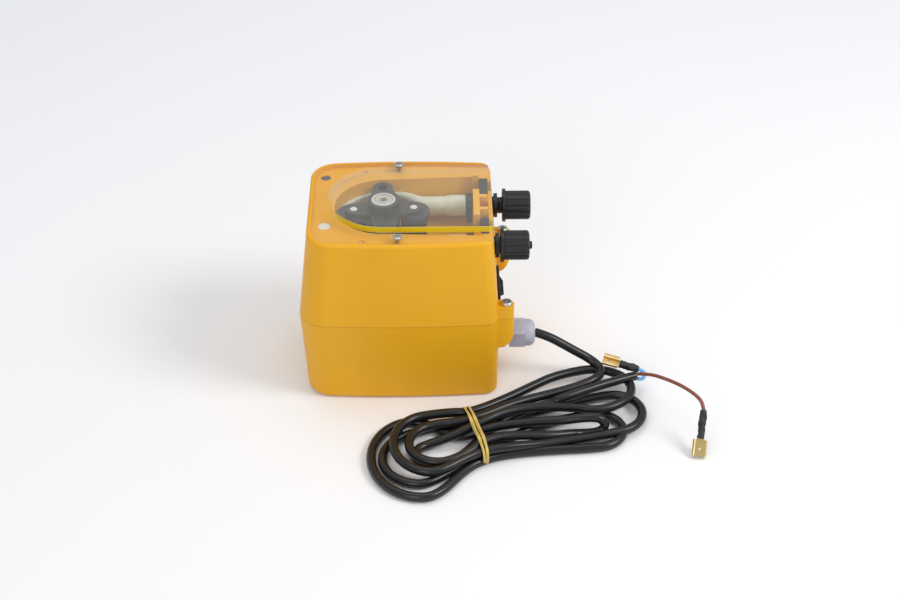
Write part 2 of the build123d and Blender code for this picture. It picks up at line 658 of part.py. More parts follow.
def connector(y):
    """Hose barb, flange in the pocket, neck through the wall, disc, thread and nipple in one piece."""
    start = BARB_X + 1
    step = (CHAMBER_END - start) / 4
    profile = [(start, NIPPLE_BORE / 2)]
    for i in range(3):
        profile += [(start + i * step, BARB_ROOT), (start + (i + 0.8) * step, BARB / 2)]
        profile += [(start + (i + 0.85) * step, BARB_ROOT)]
    profile += [
        (CHAMBER_END + 0.1, BARB_ROOT),
        (CHAMBER_END + 0.1, SLOT_R - FREE_GAP),
        (POCKET_X + 0.1, SLOT_R - FREE_GAP),
        (POCKET_X + 0.1, FLANGE / 2),
        (POCKET_END - 0.2, FLANGE / 2),
        (POCKET_END - 0.2, NECK / 2),
        (DISC_X, NECK / 2),
        (DISC_X, DISC / 2),
        (THREAD_X, DISC / 2),
        (THREAD_X, THREAD / 2),
        (THREAD_END, THREAD / 2),
        (THREAD_END, NIPPLE / 2),
        (NIPPLE_END - 0.8, NIPPLE / 2),
        (NIPPLE_END, NIPPLE / 2 - 0.4),
        (NIPPLE_END, NIPPLE_BORE / 2),
    ]
    with BuildPart() as body:
        add(turned_x(profile, 0, y, HOSE_Z))
        # the flange is square above its axis, so that it drops into the pocket and cannot turn
        with BuildSketch(across(POCKET_X + 0.1, y, HOSE_Z)):
            Rectangle(FLANGE, DECK_Z - 0.3 - HOSE_Z, align=(Align.CENTER, Align.MIN))
            Circle(NECK / 2 - 0.1, mode=Mode.SUBTRACT)
        extrude(amount=POCKET - 0.3)
    return body.part


def hose_nut(y, start):
    """Fluted cap nut that clamps the outside hose over the nipple."""
    thread_r = THREAD / 2 + FIT_GAP
    profile = [
        (0, thread_r),
        (0, NUT_RING / 2 - 0.4),
        (0.4, NUT_RING / 2),
        (NUT_RING_T, NUT_RING / 2),
        (NUT_RING_T, NUT / 2),
        (NUT_LENGTH - 1.6, NUT / 2),
        (NUT_LENGTH - 0.5, NUT / 2 - 0.6),
        (NUT_LENGTH, NUT / 2 - 1.8),
        (NUT_LENGTH, NUT_MOUTH / 2),
        (NUT_LENGTH - NUT_END_WALL, NUT_MOUTH / 2),
        (NUT_LENGTH - NUT_END_WALL, thread_r),
    ]
    with BuildPart() as nut:
        add(turned_x(profile, start, y, HOSE_Z))
        with BuildSketch(across(start + NUT_RING_T, y, HOSE_Z)):
            with PolarLocations(NUT / 2 + 0.45 * FLUTE_R, FLUTES):
                Circle(FLUTE_R)
        extrude(amount=NUT_LENGTH, mode=Mode.SUBTRACT)
    return nut.part


def pinch_ring(y, start):
    """Loose ring inside the nut that grips the outside hose."""
    end = start + NUT_LENGTH - NUT_END_WALL - RUN_GAP
    with BuildPart() as ring:
        with BuildSketch(across(end, y, HOSE_Z)):
            Circle(THREAD / 2 - RUN_GAP)
            Circle(NUT_MOUTH / 2 - 0.1, mode=Mode.SUBTRACT)
        extrude(amount=-PINCH_RING)
    return ring.part


DISCHARGE_NUT_X = NUT_TIGHT_X + REAR_NUT_BACKED_OFF
SUCTION_NUT_X = NUT_TIGHT_X + FRONT_NUT_BACKED_OFF

with BuildPart() as suction_connector:
    add(connector(-FITTING_Y))
with BuildPart() as discharge_connector:
    add(connector(FITTING_Y))
with BuildPart() as suction_nut:
    add(hose_nut(-FITTING_Y, SUCTION_NUT_X))
with BuildPart() as discharge_nut:
    add(hose_nut(FITTING_Y, DISCHARGE_NUT_X))
with BuildPart() as suction_pinch_ring:
    add(pinch_ring(-FITTING_Y, SUCTION_NUT_X))
with BuildPart() as discharge_pinch_ring:
    add(pinch_ring(FITTING_Y, DISCHARGE_NUT_X))

# ---- Rotor --------------------------------------------------------------------------------------
GRUB_AXIS = Plane(
    origin=ROTOR_PLANE.from_local_coords((0, 0, HOSE_Z)),
    x_dir=ROTOR_PLANE.x_dir,
    z_dir=ROTOR_PLANE.y_dir,
)

with BuildPart() as rotor_frame:
    # arms below and above the rollers
    for z, thick, end_r in ((LOWER_ARM_Z, LOWER_ARM, ROLLER / 2), (ARM_Z, ARM, ARM_END_R)):
        with BuildSketch(ROTOR_PLANE.offset(z)):
            Circle(HUB / 2)
            with Locations((ORBIT, 0), (-ORBIT, 0)):
                Circle(end_r)
            make_hull()
        extrude(amount=thick)
    # discs over the rollers
    with BuildSketch(ROTOR_PLANE.offset(CAP_Z)):
        Circle(HUB / 2)
        with Locations((ORBIT, 0), (-ORBIT, 0)):
            Circle(CAP_R)
    extrude(amount=CAP)
    # lobes that keep the hose down between the rollers
    for side in (-1, 1):
        with BuildSketch(ROTOR_PLANE.offset(CAP_Z)):
            Circle(HUB / 2)
            with Locations((0, side * GUIDE_ORBIT)):
                Circle(GUIDE_R)
            make_hull()
        extrude(amount=CAP + ARM)
    with BuildSketch(ROTOR_PLANE.offset(LOWER_ARM_Z)):
        Circle(HUB / 2)
    extrude(amount=HUB_Z - LOWER_ARM_Z)
    with BuildSketch(ROTOR_PLANE.offset(LOWER_ARM_Z)):
        Circle(SHAFT / 2 + RUN_GAP)
        with Locations((ORBIT, 0), (-ORBIT, 0)):
            Circle(ROLLER_PIN / 2 + RUN_GAP)
        with Locations((0, GUIDE_ORBIT), (0, -GUIDE_ORBIT)):
            Circle(GUIDE_HOLE / 2)
    extrude(amount=HUB_Z - LOWER_ARM_Z, mode=Mode.SUBTRACT)
    with BuildSketch(ROTOR_PLANE.offset(BEARING_Z)):
        Circle(BEARING / 2 + RUN_GAP)
    extrude(amount=BEARING_WIDTH, mode=Mode.SUBTRACT)
    with BuildSketch(GRUB_AXIS):
        Circle(GRUB / 2 + RUN_GAP)
    extrude(amount=HUB, mode=Mode.SUBTRACT)

with BuildPart() as rotor_grub_screw:
    with BuildSketch(GRUB_AXIS.offset(SHAFT / 2 + RUN_GAP)):
        Circle(GRUB / 2)
    extrude(amount=GRUB_LENGTH)
    with BuildSketch(GRUB_AXIS.offset(SHAFT / 2 + GRUB_LENGTH)):
        RegularPolygon(GRUB * 0.28, 6)
    extrude(amount=-GRUB_LENGTH / 2, mode=Mode.SUBTRACT)

with BuildPart() as roller_pins:
    with BuildSketch(ROTOR_PLANE.offset(LOWER_ARM_Z)):
        with Locations((ORBIT, 0), (-ORBIT, 0)):
            Circle(ROLLER_PIN / 2)
    extrude(amount=ARM_Z + ARM + 0.3 - LOWER_ARM_Z)
    chamfer(roller_pins.faces().group_by(Axis.Z)[-1].edges(), 0.4)


def roller(side):
    """One roller on its pin."""
    with BuildPart() as drum:
        with BuildSketch(ROTOR_PLANE.offset(ROLLER_Z)):
            with Locations((side * ORBIT, 0)):
                Circle(ROLLER / 2)
                Circle(ROLLER_PIN / 2 + RUN_GAP, mode=Mode.SUBTRACT)
        extrude(amount=ROLLER_LENGTH)
        ends = drum.faces().filter_by(GeomType.PLANE)
        fillet([face.outer_wire().edges()[0] for face in ends], 1.0)
    return drum.part


with BuildPart() as left_roller:
    add(roller(-1))
with BuildPart() as right_roller:
    add(roller(1))

BEARING_OUTER = BEARING / 2 - BEARING_RING
BEARING_INNER = BEARING_BORE / 2 + RUN_GAP + BEARING_RING

with BuildPart() as bearing_outer_ring:
    with BuildSketch(AXIS_PLANE.offset(BEARING_Z)):
        Circle(BEARING / 2)
        Circle(BEARING_OUTER, mode=Mode.SUBTRACT)
    extrude(amount=BEARING_WIDTH - 0.1)
    for low in (0.3, BEARING_WIDTH - 0.7):
        with BuildSketch(AXIS_PLANE.offset(BEARING_Z + low)):
            Circle(BEARING_OUTER + 0.1)
            Circle(BEARING_INNER + FIT_GAP, mode=Mode.SUBTRACT)
        extrude(amount=0.3)

with BuildPart() as bearing_inner_ring:
    with BuildSketch(AXIS_PLANE.offset(BEARING_Z + 0.1)):
        Circle(BEARING_INNER)
        Circle(BEARING_BORE / 2 + RUN_GAP / 2, mode=Mode.SUBTRACT)
    extrude(amount=BEARING_WIDTH - 0.2)

with BuildPart() as bearing_balls:
    with Locations((AXIS_X, 0, BEARING_Z + BEARING_WIDTH / 2)):
        with PolarLocations((BEARING_OUTER + BEARING_INNER) / 2, BALLS):
            Sphere((BEARING_OUTER - BEARING_INNER) / 2 - RUN_GAP)

# ---- Drive --------------------------------------------------------------------------------------
SHAFT_TOP_Z = BEARING_Z - 3.0

with BuildPart() as output_shaft:
    with BuildSketch(AXIS_PLANE.offset(SHAFT_Z)):
        Circle(SHAFT / 2)
    extrude(amount=SHAFT_TOP_Z - SHAFT_Z)
    chamfer(output_shaft.edges().filter_by(GeomType.CIRCLE), 0.4)

with BuildPart() as output_gear:
    extrude(gear_section(AXIS_PLANE.offset(OUTPUT_GEAR_Z), WHEEL_TEETH, 0), amount=WHEEL_T)
    with BuildSketch(AXIS_PLANE.offset(OUTPUT_GEAR_Z)):
        Circle(SHAFT / 2 + RUN_GAP / 2)
    extrude(amount=WHEEL_T, mode=Mode.SUBTRACT)

IDLER_PLANE = Plane(origin=(IDLER_X, 0, 0))
IDLER_PINION = OUTPUT_GEAR_Z + WHEEL_T + 0.5 - IDLER_Z - WHEEL_T

with BuildPart() as idler_gear:
    extrude(
        gear_section(IDLER_PLANE.offset(IDLER_Z), WHEEL_TEETH, 180 + 180 / WHEEL_TEETH),
        amount=WHEEL_T,
    )
    extrude(
        gear_section(IDLER_PLANE.offset(IDLER_Z + WHEEL_T), PINION_TEETH, 180 + 180 / PINION_TEETH),
        amount=IDLER_PINION,
    )
    with BuildSketch(IDLER_PLANE.offset(IDLER_Z)):
        Circle(IDLER_PIN / 2 + RUN_GAP)
    extrude(amount=WHEEL_T + IDLER_PINION, mode=Mode.SUBTRACT)

with BuildPart() as motor_pinion:
    extrude(gear_section(AXIS_PLANE.offset(IDLER_Z - 0.5), PINION_TEETH, 0), amount=WHEEL_T + 1)
    with BuildSketch(AXIS_PLANE.offset(IDLER_Z - 0.5)):
        Circle(MOTOR_SHAFT / 2 + RUN_GAP / 2)
    extrude(amount=WHEEL_T + 1, mode=Mode.SUBTRACT)

CASE_Z = MOTOR_TOP_Z + MOTOR_PLATE
CASE_EAR_LOW_Z = CASE_EAR_Z - CASE_EAR_T
MOTOR_EAR_POINTS = [(AXIS_X, side * MOTOR_EAR_Y) for side in (-1, 1)]
MOTOR_EAR_R = 5.0
MOTOR_FOOT = 5.0
MOTOR_SCREW = 3.0
MOTOR_BOSS_R = 7.5


def case_plan(z, radius):
    """Plan of the gear case: two round ends joined by straight sides."""
    with BuildSketch(Plane.XY.offset(z)) as plan:
        with Locations((AXIS_X, 0), (IDLER_X, 0)):
            Circle(radius)
        make_hull()
    return plan.sketch


def motor_ears_plan(z, radius):
    """Plan of a bar with round ends over the two motor screws."""
    with BuildSketch(Plane.XY.offset(z)) as plan:
        with Locations(*MOTOR_EAR_POINTS):
            Circle(radius)
        make_hull()
    return plan.sketch


with BuildPart() as gear_case:
    extrude(case_plan(CASE_Z, CASE_R + CASE_WALL), amount=TUB_Z - CASE_Z)
    extrude(motor_ears_plan(CASE_Z, MOTOR_EAR_R), amount=MOTOR_FOOT)
    for x, y in CASE_EAR_POINTS:
        add(rod_z(CASE_EAR_R, CASE_EAR_LOW_Z, CASE_EAR_Z, x, y))
    extrude(case_plan(CASE_Z, CASE_R), amount=CASE_TOP_Z - CASE_Z, mode=Mode.SUBTRACT)
    add(rod_z(CASE_SPIGOT / 2, TUB_Z - 0.5, CHAMBER_Z - 0.2, AXIS_X, 0))
    add(rod_z(BUSH / 2 + RUN_GAP / 2, CASE_TOP_Z - 1, CHAMBER_Z, AXIS_X, 0), mode=Mode.SUBTRACT)
    add(rod_z(IDLER_PIN / 2 + RUN_GAP / 2, CASE_TOP_Z - 1, TUB_Z - 0.6, IDLER_X, 0), mode=Mode.SUBTRACT)
    with BuildSketch(Plane.XY.offset(CASE_EAR_LOW_Z)):
        with Locations(*CASE_EAR_POINTS):
            Circle(CASE_SCREW / 2 + FIT_GAP)
    extrude(amount=CASE_EAR_T, mode=Mode.SUBTRACT)
    with BuildSketch(Plane.XY.offset(CASE_Z)):
        with Locations(*MOTOR_EAR_POINTS):
            Circle(MOTOR_SCREW / 2 + RUN_GAP)
    extrude(amount=MOTOR_FOOT, mode=Mode.SUBTRACT)

with BuildPart() as case_screws:
    with BuildSketch(Plane.XY.offset(CASE_EAR_LOW_Z)):
        with Locations(*CASE_EAR_POINTS):
            Circle(CASE_SCREW)
    extrude(amount=-CASE_SCREW * 0.7)
    with BuildSketch(Plane.XY.offset(CASE_EAR_LOW_Z)):
        with Locations(*CASE_EAR_POINTS):
            Circle(CASE_SCREW / 2)
    extrude(amount=CASE_EAR_T + CASE_BOSS - 1)

with BuildPart() as output_bush:
    add(rod_z(BUSH / 2, CASE_TOP_Z - 0.1, CHAMBER_Z - 0.2, AXIS_X, 0))
    add(rod_z(BUSH / 2 + 1.5, CASE_TOP_Z - 1.0, CASE_TOP_Z, AXIS_X, 0))
    add(rod_z(SHAFT / 2 + RUN_GAP, CASE_TOP_Z - 2, CHAMBER_Z, AXIS_X, 0), mode=Mode.SUBTRACT)

with BuildPart() as idler_pin:
    add(rod_z(IDLER_PIN / 2, MOTOR_TOP_Z + 0.5, TUB_Z - 0.8, IDLER_X, 0))

with BuildPart() as motor_plate:
    extrude(case_plan(MOTOR_TOP_Z, CASE_R + CASE_WALL), amount=MOTOR_PLATE)
    extrude(motor_ears_plan(MOTOR_TOP_Z, MOTOR_EAR_R), amount=MOTOR_PLATE)
    add(rod_z(MOTOR_BOSS_R + FIT_GAP, MOTOR_TOP_Z - 1, CASE_Z + 1, AXIS_X, 0), mode=Mode.SUBTRACT)
    idler_seat = rod_z(IDLER_PIN / 2 + RUN_GAP / 2, MOTOR_TOP_Z + 0.4, CASE_Z + 1, IDLER_X, 0)
    add(idler_seat, mode=Mode.SUBTRACT)
    with BuildSketch(Plane.XY.offset(MOTOR_TOP_Z)):
        with Locations(*MOTOR_EAR_POINTS):
            Circle(MOTOR_SCREW / 2 + FIT_GAP)
    extrude(amount=MOTOR_PLATE, mode=Mode.SUBTRACT)

CAN_WALL = 1.0
CAN_TOP = 1.2
MOTOR_Z = MOTOR_TOP_Z - MOTOR_LENGTH
END_CHEEK = 1.0
COIL_R = MOTOR / 2 - CAN_WALL - 1.0
COIL_BORE_R = MAGNET / 2 + 3.5
COIL_Z = MOTOR_Z + CAN_WALL + END_CHEEK
COIL_TOP_Z = MOTOR_TOP_Z - CAN_TOP - END_CHEEK

with BuildPart() as motor_can:
    add(rod_z(MOTOR / 2, MOTOR_Z, MOTOR_TOP_Z, AXIS_X, 0))
    fillet(motor_can.faces().sort_by(Axis.Z)[0].edges(), 1.5)
    extrude(motor_ears_plan(MOTOR_TOP_Z, MOTOR_EAR_R - 0.5), amount=-CAN_TOP)
    add(rod_z(MOTOR_BOSS_R, MOTOR_TOP_Z - 1, CASE_Z - 0.5, AXIS_X, 0))
    hollow = rod_z(MOTOR / 2 - CAN_WALL, MOTOR_Z + CAN_WALL, MOTOR_TOP_Z - CAN_TOP, AXIS_X, 0)
    add(hollow, mode=Mode.SUBTRACT)
    add(rod_z(MOTOR_SHAFT / 2 + RUN_GAP, MOTOR_Z - 1, CASE_Z, AXIS_X, 0), mode=Mode.SUBTRACT)
    with BuildSketch(Plane.XY.offset(MOTOR_TOP_Z)):
        with Locations(*MOTOR_EAR_POINTS):
            Circle(MOTOR_SCREW / 2 + FIT_GAP)
    extrude(amount=-CAN_TOP, mode=Mode.SUBTRACT)

with BuildPart() as motor_screws:
    with BuildSketch(Plane.XY.offset(MOTOR_TOP_Z - CAN_TOP)):
        with Locations(*MOTOR_EAR_POINTS):
            Circle(MOTOR_SCREW * 0.92)
    extrude(amount=-MOTOR_SCREW * 0.7)
    with BuildSketch(Plane.XY.offset(MOTOR_TOP_Z - CAN_TOP)):
        with Locations(*MOTOR_EAR_POINTS):
            Circle(MOTOR_SCREW / 2)
    extrude(amount=CAN_TOP + MOTOR_PLATE + MOTOR_FOOT - 0.5)

with BuildPart() as motor_stator:
    add(rod_z(MOTOR / 2 - CAN_WALL - RUN_GAP, MOTOR_Z + CAN_WALL, COIL_Z, AXIS_X, 0))
    add(rod_z(MOTOR / 2 - CAN_WALL - RUN_GAP, COIL_TOP_Z, COIL_TOP_Z + END_CHEEK, AXIS_X, 0))
    add(rod_z(COIL_BORE_R, COIL_Z - 0.5, COIL_TOP_Z + 0.5, AXIS_X, 0))
    add(rod_z(MAGNET / 2 + 0.5, MOTOR_Z, MOTOR_TOP_Z, AXIS_X, 0), mode=Mode.SUBTRACT)

with BuildPart() as motor_coil:
    with BuildSketch(AXIS_PLANE.offset(COIL_Z)):
        Circle(COIL_R)
        Circle(COIL_BORE_R + RUN_GAP, mode=Mode.SUBTRACT)
    extrude(amount=COIL_TOP_Z - COIL_Z)

with BuildPart() as motor_magnet:
    with BuildSketch(AXIS_PLANE.offset(COIL_Z + 1)):
        Circle(MAGNET / 2)
        Circle(MOTOR_SHAFT / 2 + RUN_GAP / 2, mode=Mode.SUBTRACT)
    extrude(amount=COIL_TOP_Z - COIL_Z - 2)

with BuildPart() as motor_shaft:
    add(rod_z(MOTOR_SHAFT / 2, MOTOR_Z - 0.5, IDLER_Z + WHEEL_T + 0.5, AXIS_X, 0))

# ---- Cable gland --------------------------------------------------------------------------------
GLAND_X = GLAND_WALL_X + FIT_GAP
CAP_X = GLAND_X + GLAND_FLANGE + CAP_START
GLAND_END = CAP_X + CAP_LENGTH
GLAND_TAIL_X = GLAND_INSIDE_X - LOCKNUT - 2.0
JAW_R = GLAND_THREAD / 2 - GLAND_THREAD_WALL


def hexagon_x(across_flats, start, end):
    """A hexagonal prism on the gland's axis, one flat upwards."""
    with BuildPart() as prism:
        with BuildSketch(across(start, GLAND_Y, GLAND_Z)):
            RegularPolygon(across_flats / 2, 6, major_radius=False, rotation=30)
        extrude(amount=end - start)
    return prism.part


with BuildPart() as gland_body:
    add(hexagon_x(GLAND_HEX, GLAND_X, GLAND_X + GLAND_FLANGE))
    add(rod_x(GLAND_THREAD / 2, GLAND_TAIL_X, CAP_X + CAP_THREAD, GLAND_Y, GLAND_Z))
    add(rod_x(CABLE / 2 + 0.8, GLAND_TAIL_X, CAP_X, GLAND_Y, GLAND_Z), mode=Mode.SUBTRACT)
    add(rod_x(JAW_R, CAP_X - 0.5, CAP_X + CAP_THREAD, GLAND_Y, GLAND_Z), mode=Mode.SUBTRACT)

with BuildPart() as gland_locknut:
    add(hexagon_x(GLAND_HEX + 2, GLAND_INSIDE_X - 0.3 - LOCKNUT, GLAND_INSIDE_X - 0.3))
    thread_hole = rod_x(GLAND_THREAD / 2 + RUN_GAP, GLAND_TAIL_X, GLAND_X, GLAND_Y, GLAND_Z)
    add(thread_hole, mode=Mode.SUBTRACT)

with BuildPart() as gland_seal:
    with BuildSketch(across(CAP_X - 0.4, GLAND_Y, GLAND_Z)):
        Circle(JAW_R - RUN_GAP)
        Circle(CABLE / 2 + RUN_GAP, mode=Mode.SUBTRACT)
    extrude(amount=CAP_THREAD + 4.0)

with BuildPart() as gland_cap:
    add(rod_x(GLAND_DOME / 2, CAP_X, GLAND_END, GLAND_Y, GLAND_Z))
    fillet(gland_cap.faces().sort_by(Axis.X)[-1].edges(), 4.5)
    add(hexagon_x(GLAND_HEX, CAP_X, CAP_X + CAP_HEX_LENGTH))
    screwed = rod_x(GLAND_THREAD / 2 + RUN_GAP, CAP_X - 1, CAP_X + CAP_THREAD + 0.3, GLAND_Y, GLAND_Z)
    add(screwed, mode=Mode.SUBTRACT)
    add(rod_x(JAW_R + RUN_GAP, CAP_X, CAP_X + CAP_THREAD + 4.2, GLAND_Y, GLAND_Z), mode=Mode.SUBTRACT)
    add(rod_x(CABLE / 2 + FREE_GAP, CAP_X, GLAND_END + 1, GLAND_Y, GLAND_Z), mode=Mode.SUBTRACT)

# ---- Power switch -------------------------------------------------------------------------------
ROCKER_LONG = SWITCH_LONG - 4.0
ROCKER_SHORT = SWITCH_SHORT - 3.6
ROCKER_R = ROCKER_LONG / 2 - 0.4
ROCKER_CENTRE = SWITCH_PLANE.from_local_coords((0, 0, -ROCKER_PIVOT))
ROCKER_PLANE = Plane(
    origin=ROCKER_CENTRE,
    x_dir=SWITCH_PLANE.x_dir * math.cos(math.radians(ROCKER_TILT))
    - SWITCH_PLANE.z_dir * math.sin(math.radians(ROCKER_TILT)),
    z_dir=SWITCH_PLANE.y_dir * -1,
)

with BuildPart() as switch_body:
    with BuildSketch(SWITCH_PLANE.offset(FIT_GAP / 3)):
        RectangleRounded(SWITCH_LONG, SWITCH_SHORT, 1.2)
    extrude(amount=BEZEL)
    chamfer(switch_body.faces().sort_by(Axis.X)[-1].outer_wire().edges(), 0.5)
    with BuildSketch(SWITCH_PLANE.offset(1.0)):
        Rectangle(SWITCH_LONG - 2, SWITCH_SHORT - 2)
    extrude(amount=-SWITCH_DEEP - 1.0)
    with BuildSketch(SWITCH_PLANE.offset(BEZEL + 1)):
        Rectangle(ROCKER_LONG + 2 * FREE_GAP, ROCKER_SHORT + 2 * FREE_GAP)
    extrude(amount=-BEZEL - 8.0, mode=Mode.SUBTRACT)
    with BuildSketch(SWITCH_PLANE.offset(0.5 - SWITCH_DEEP)):
        with GridLocations(5.5, 1, 3, 1):
            Rectangle(0.8, 4.8)
    extrude(amount=-8.0)

with BuildPart() as switch_rocker:
    with BuildSketch(ROCKER_PLANE):
        with BuildLine():
            end = ROCKER_R + 1
            rise = end * math.tan(math.radians(ROCKER_TILT + 1))
            ridge = BEZEL + ROCKER_PIVOT
            Polyline(
                (0, ridge), (end, ridge + rise), (end, -4.3), (-end, -4.3), (-end, ridge + rise), close=True
            )
        make_face()
        Circle(ROCKER_R, mode=Mode.INTERSECT)
    extrude(amount=ROCKER_SHORT / 2, both=True)

# ---- Wiring inside ------------------------------------------------------------------------------
BLOCK_Z = WALL + WALL_PAD_RISE
CORE_END_X = BLOCK_X + BLOCK_LENGTH / 2
CABLE_CUT_X = GLAND_TAIL_X - 4.0

with BuildPart() as terminal_block:
    with BuildSketch(Plane.XY.offset(BLOCK_Z)):
        with Locations((BLOCK_X, BLOCK_Y)):
            RectangleRounded(BLOCK_LENGTH, BLOCK_WIDTH, 1.5)
    extrude(amount=BLOCK_HEIGHT)
    with BuildSketch(Plane.XY.offset(BLOCK_Z + BLOCK_HEIGHT)):
        with Locations((BLOCK_X, BLOCK_Y)):
            with GridLocations(BLOCK_LENGTH / 2, BLOCK_WIDTH / 2, 2, 2):
                Circle(1.9)
    extrude(amount=-3.0, mode=Mode.SUBTRACT)

with BuildPart() as terminal_screws:
    with BuildSketch(Plane.XY.offset(BLOCK_Z + BLOCK_HEIGHT - 3.0)):
        with Locations((BLOCK_X, BLOCK_Y)):
            with GridLocations(BLOCK_LENGTH / 2, BLOCK_WIDTH / 2, 2, 2):
                Circle(1.8)
    extrude(amount=1.8)

with BuildPart() as cable_inside:
    with BuildSketch(across(CABLE_CUT_X, GLAND_Y, GLAND_Z)):
        Circle(CABLE / 2)
    extrude(amount=GLAND_END - CABLE_CUT_X)


def wire(diameter, points, radii):
    """A round wire along straight runs joined by tangent arcs."""
    with BuildPart() as tube:
        with BuildLine():
            path = FilletPolyline(*points, radius=radii)
        start = Plane(origin=path @ 0, z_dir=path % 0)
        with BuildSketch(start):
            Circle(diameter / 2)
        sweep(path=path)
    return tube.part


def bend_radii(points):
    """The largest arc at each corner that leaves a tenth of the shorter run straight."""
    radii = []
    for before, corner, after in zip(points, points[1:], points[2:]):
        come = Vector(corner) - Vector(before)
        go = Vector(after) - Vector(corner)
        half_turn = math.radians(come.get_angle(go)) / 2
        radii.append(0.45 * min(come.length, go.length) / math.tan(half_turn))
    return radii


CORE_Z = BLOCK_Z + BLOCK_HEIGHT / 2

with BuildPart() as cable_cores:
    for side in (-1, 1):
        near_y = GLAND_Y + side * CORE * 0.6
        far_y = BLOCK_Y + side * BLOCK_WIDTH / 4
        middle_x = (CABLE_CUT_X + CORE_END_X) / 2
        core_points = [
            (CABLE_CUT_X, near_y, GLAND_Z),
            (middle_x + 1.5, near_y, GLAND_Z),
            (middle_x - 1.0, far_y, CORE_Z),
            (CORE_END_X, far_y, CORE_Z),
        ]
        add(wire(CORE, core_points, [2.6, 2.6]))

# ---- Mains cable --------------------------------------------------------------------------------
# The lead comes down from the gland, turns back and runs onto a flat hank held by a rubber band.
LEAD_POINTS = [
    (GLAND_END, GLAND_Y, GLAND_Z),
    (101.5, -24.2, 32.0),
    (111.0, -26.0, 27.0),
    (120.2, -27.0, 21.3),
    (129.3, -27.4, 15.6),
    (136.6, -32.8, 11.4),
    (136.4, -42.0, 10.1),
    (129.6, -49.6, 9.9),
    (119.0, -55.2, 9.7),
    (104.2, -60.9, 9.5),
]
TAIL_POINTS = [(107.5, -70.3, 13.6), (128.0, -60.7, 14.3), (146.0, -51.5, 13.6), (161.2, -44.5, 12.4)]
HANK_CENTRE = (51.5, -103.0)
HANK_ANGLE = 14.7
HANK_HEIGHT = 16.0
HANK_OUTLINE = [
    (-76, -6), (-63, 24), (-30, 38), (4, 26), (34, 34), (68, 53), (104, 50),
    (120, 18), (104, -18), (64, -27), (16, -16), (-22, -33), (-56, -47),
]
HANK_SIDE = [
    (-77, 0), (-77, 11), (-40, HANK_HEIGHT), (45, HANK_HEIGHT), (78, 9.5), (122, 8.6), (122, 0),
]
NECK_V = 5.5  # middle of the hank under the band
NECK_WIDTH = 45.0
BAND = 5.0
BAND_T = 1.0
HANK_PLANE = Plane(
    origin=(*HANK_CENTRE, 0),
    x_dir=(math.cos(math.radians(HANK_ANGLE)), math.sin(math.radians(HANK_ANGLE)), 0),
    z_dir=(0, 0, 1),
)


def hank_across(u):
    """A plane across the hank at the distance u along it."""
    return Plane(
        origin=HANK_PLANE.from_local_coords((u, NECK_V, HANK_HEIGHT / 2)),
        x_dir=HANK_PLANE.y_dir,
        z_dir=HANK_PLANE.x_dir,
    )


lead_radii = bend_radii(LEAD_POINTS)
print("lead radii", [round(r, 1) for r in lead_radii])
tail_radii = bend_radii(TAIL_POINTS)
print("tail radii", [round(r, 1) for r in tail_radii])

with BuildPart() as cable_lead:
    add(wire(CABLE, LEAD_POINTS, lead_radii))

with BuildPart() as cable_tail:
    add(wire(CABLE, TAIL_POINTS, tail_radii))

with BuildPart() as cable_hank:
    with BuildSketch(HANK_PLANE):
        with BuildLine():
            Spline(*HANK_OUTLINE, periodic=True)
        make_face()
    extrude(amount=HANK_HEIGHT)
    with BuildSketch(Plane(origin=HANK_PLANE.origin, x_dir=HANK_PLANE.x_dir, z_dir=HANK_PLANE.y_dir * -1)):
        with BuildLine():
            Polyline(*HANK_SIDE, close=True)
        make_face()
    extrude(amount=80, both=True, mode=Mode.INTERSECT)
    # the band's groove round the neck
    with BuildSketch(hank_across(-BAND / 2)):
        Rectangle(100, 2 * HANK_HEIGHT)
        RectangleRounded(NECK_WIDTH - 2 * BAND_T, HANK_HEIGHT - 2 * BAND_T, 5.0, mode=Mode.SUBTRACT)
    extrude(amount=BAND, mode=Mode.SUBTRACT)

with BuildPart() as rubber_band:
    with BuildSketch(hank_across(0.2 - BAND / 2)):
        RectangleRounded(NECK_WIDTH, HANK_HEIGHT, 6.0)
        inner = (NECK_WIDTH - 2 * BAND_T + 0.1, HANK_HEIGHT - 2 * BAND_T + 0.1)
        RectangleRounded(*inner, 5.0, mode=Mode.SUBTRACT)
    extrude(amount=BAND - 0.4)

# ---- Loose ends ---------------------------------------------------------------------------------
SHRINK = 5.4
SHRINK_WIRE = CORE / 2 + RUN_GAP
SPADE_WIDTH = 9.4
SPADE_LENGTH = 9.6
SPADE_NECK = 5.0
SPADE_SHEET = 0.8
SPADE_CURL = 1.4
BROWN_POINTS = [
    (161.4, -43.7, 13.5),
    (169.8, -49.3, 18.0),
    (178.5, -62.0, 24.2),
    (187.3, -75.2, 29.0),
    (192.9, -83.7, 30.8),
    (197.6, -91.3, 31.4),
    (200.3, -95.6, 29.6),
    (200.9, -98.5, 25.9),
]
BROWN_SHRINK_END = (198.9, -108.3, 13.5)
BLUE_POINTS = [
    (161.3, -45.3, 11.2),
    (165.6, -45.6, 9.6),
    (168.2, -42.4, 10.6),
    (167.4, -40.3, 13.4),
    (163.8, -40.0, 14.6),
]
BLUE_SHRINK_END = (153.6, -36.9, 16.0)
SHRINK_OVERLAP = 1.5


def toward(start, end, face):
    """A plane at end whose +X carries on from start to end and whose +Z is as near face as it can be."""
    along = (Vector(end) - Vector(start)).normalized()
    normal = Vector(face) - along * Vector(face).dot(along)
    return Plane(origin=end, x_dir=along, z_dir=normal.normalized())


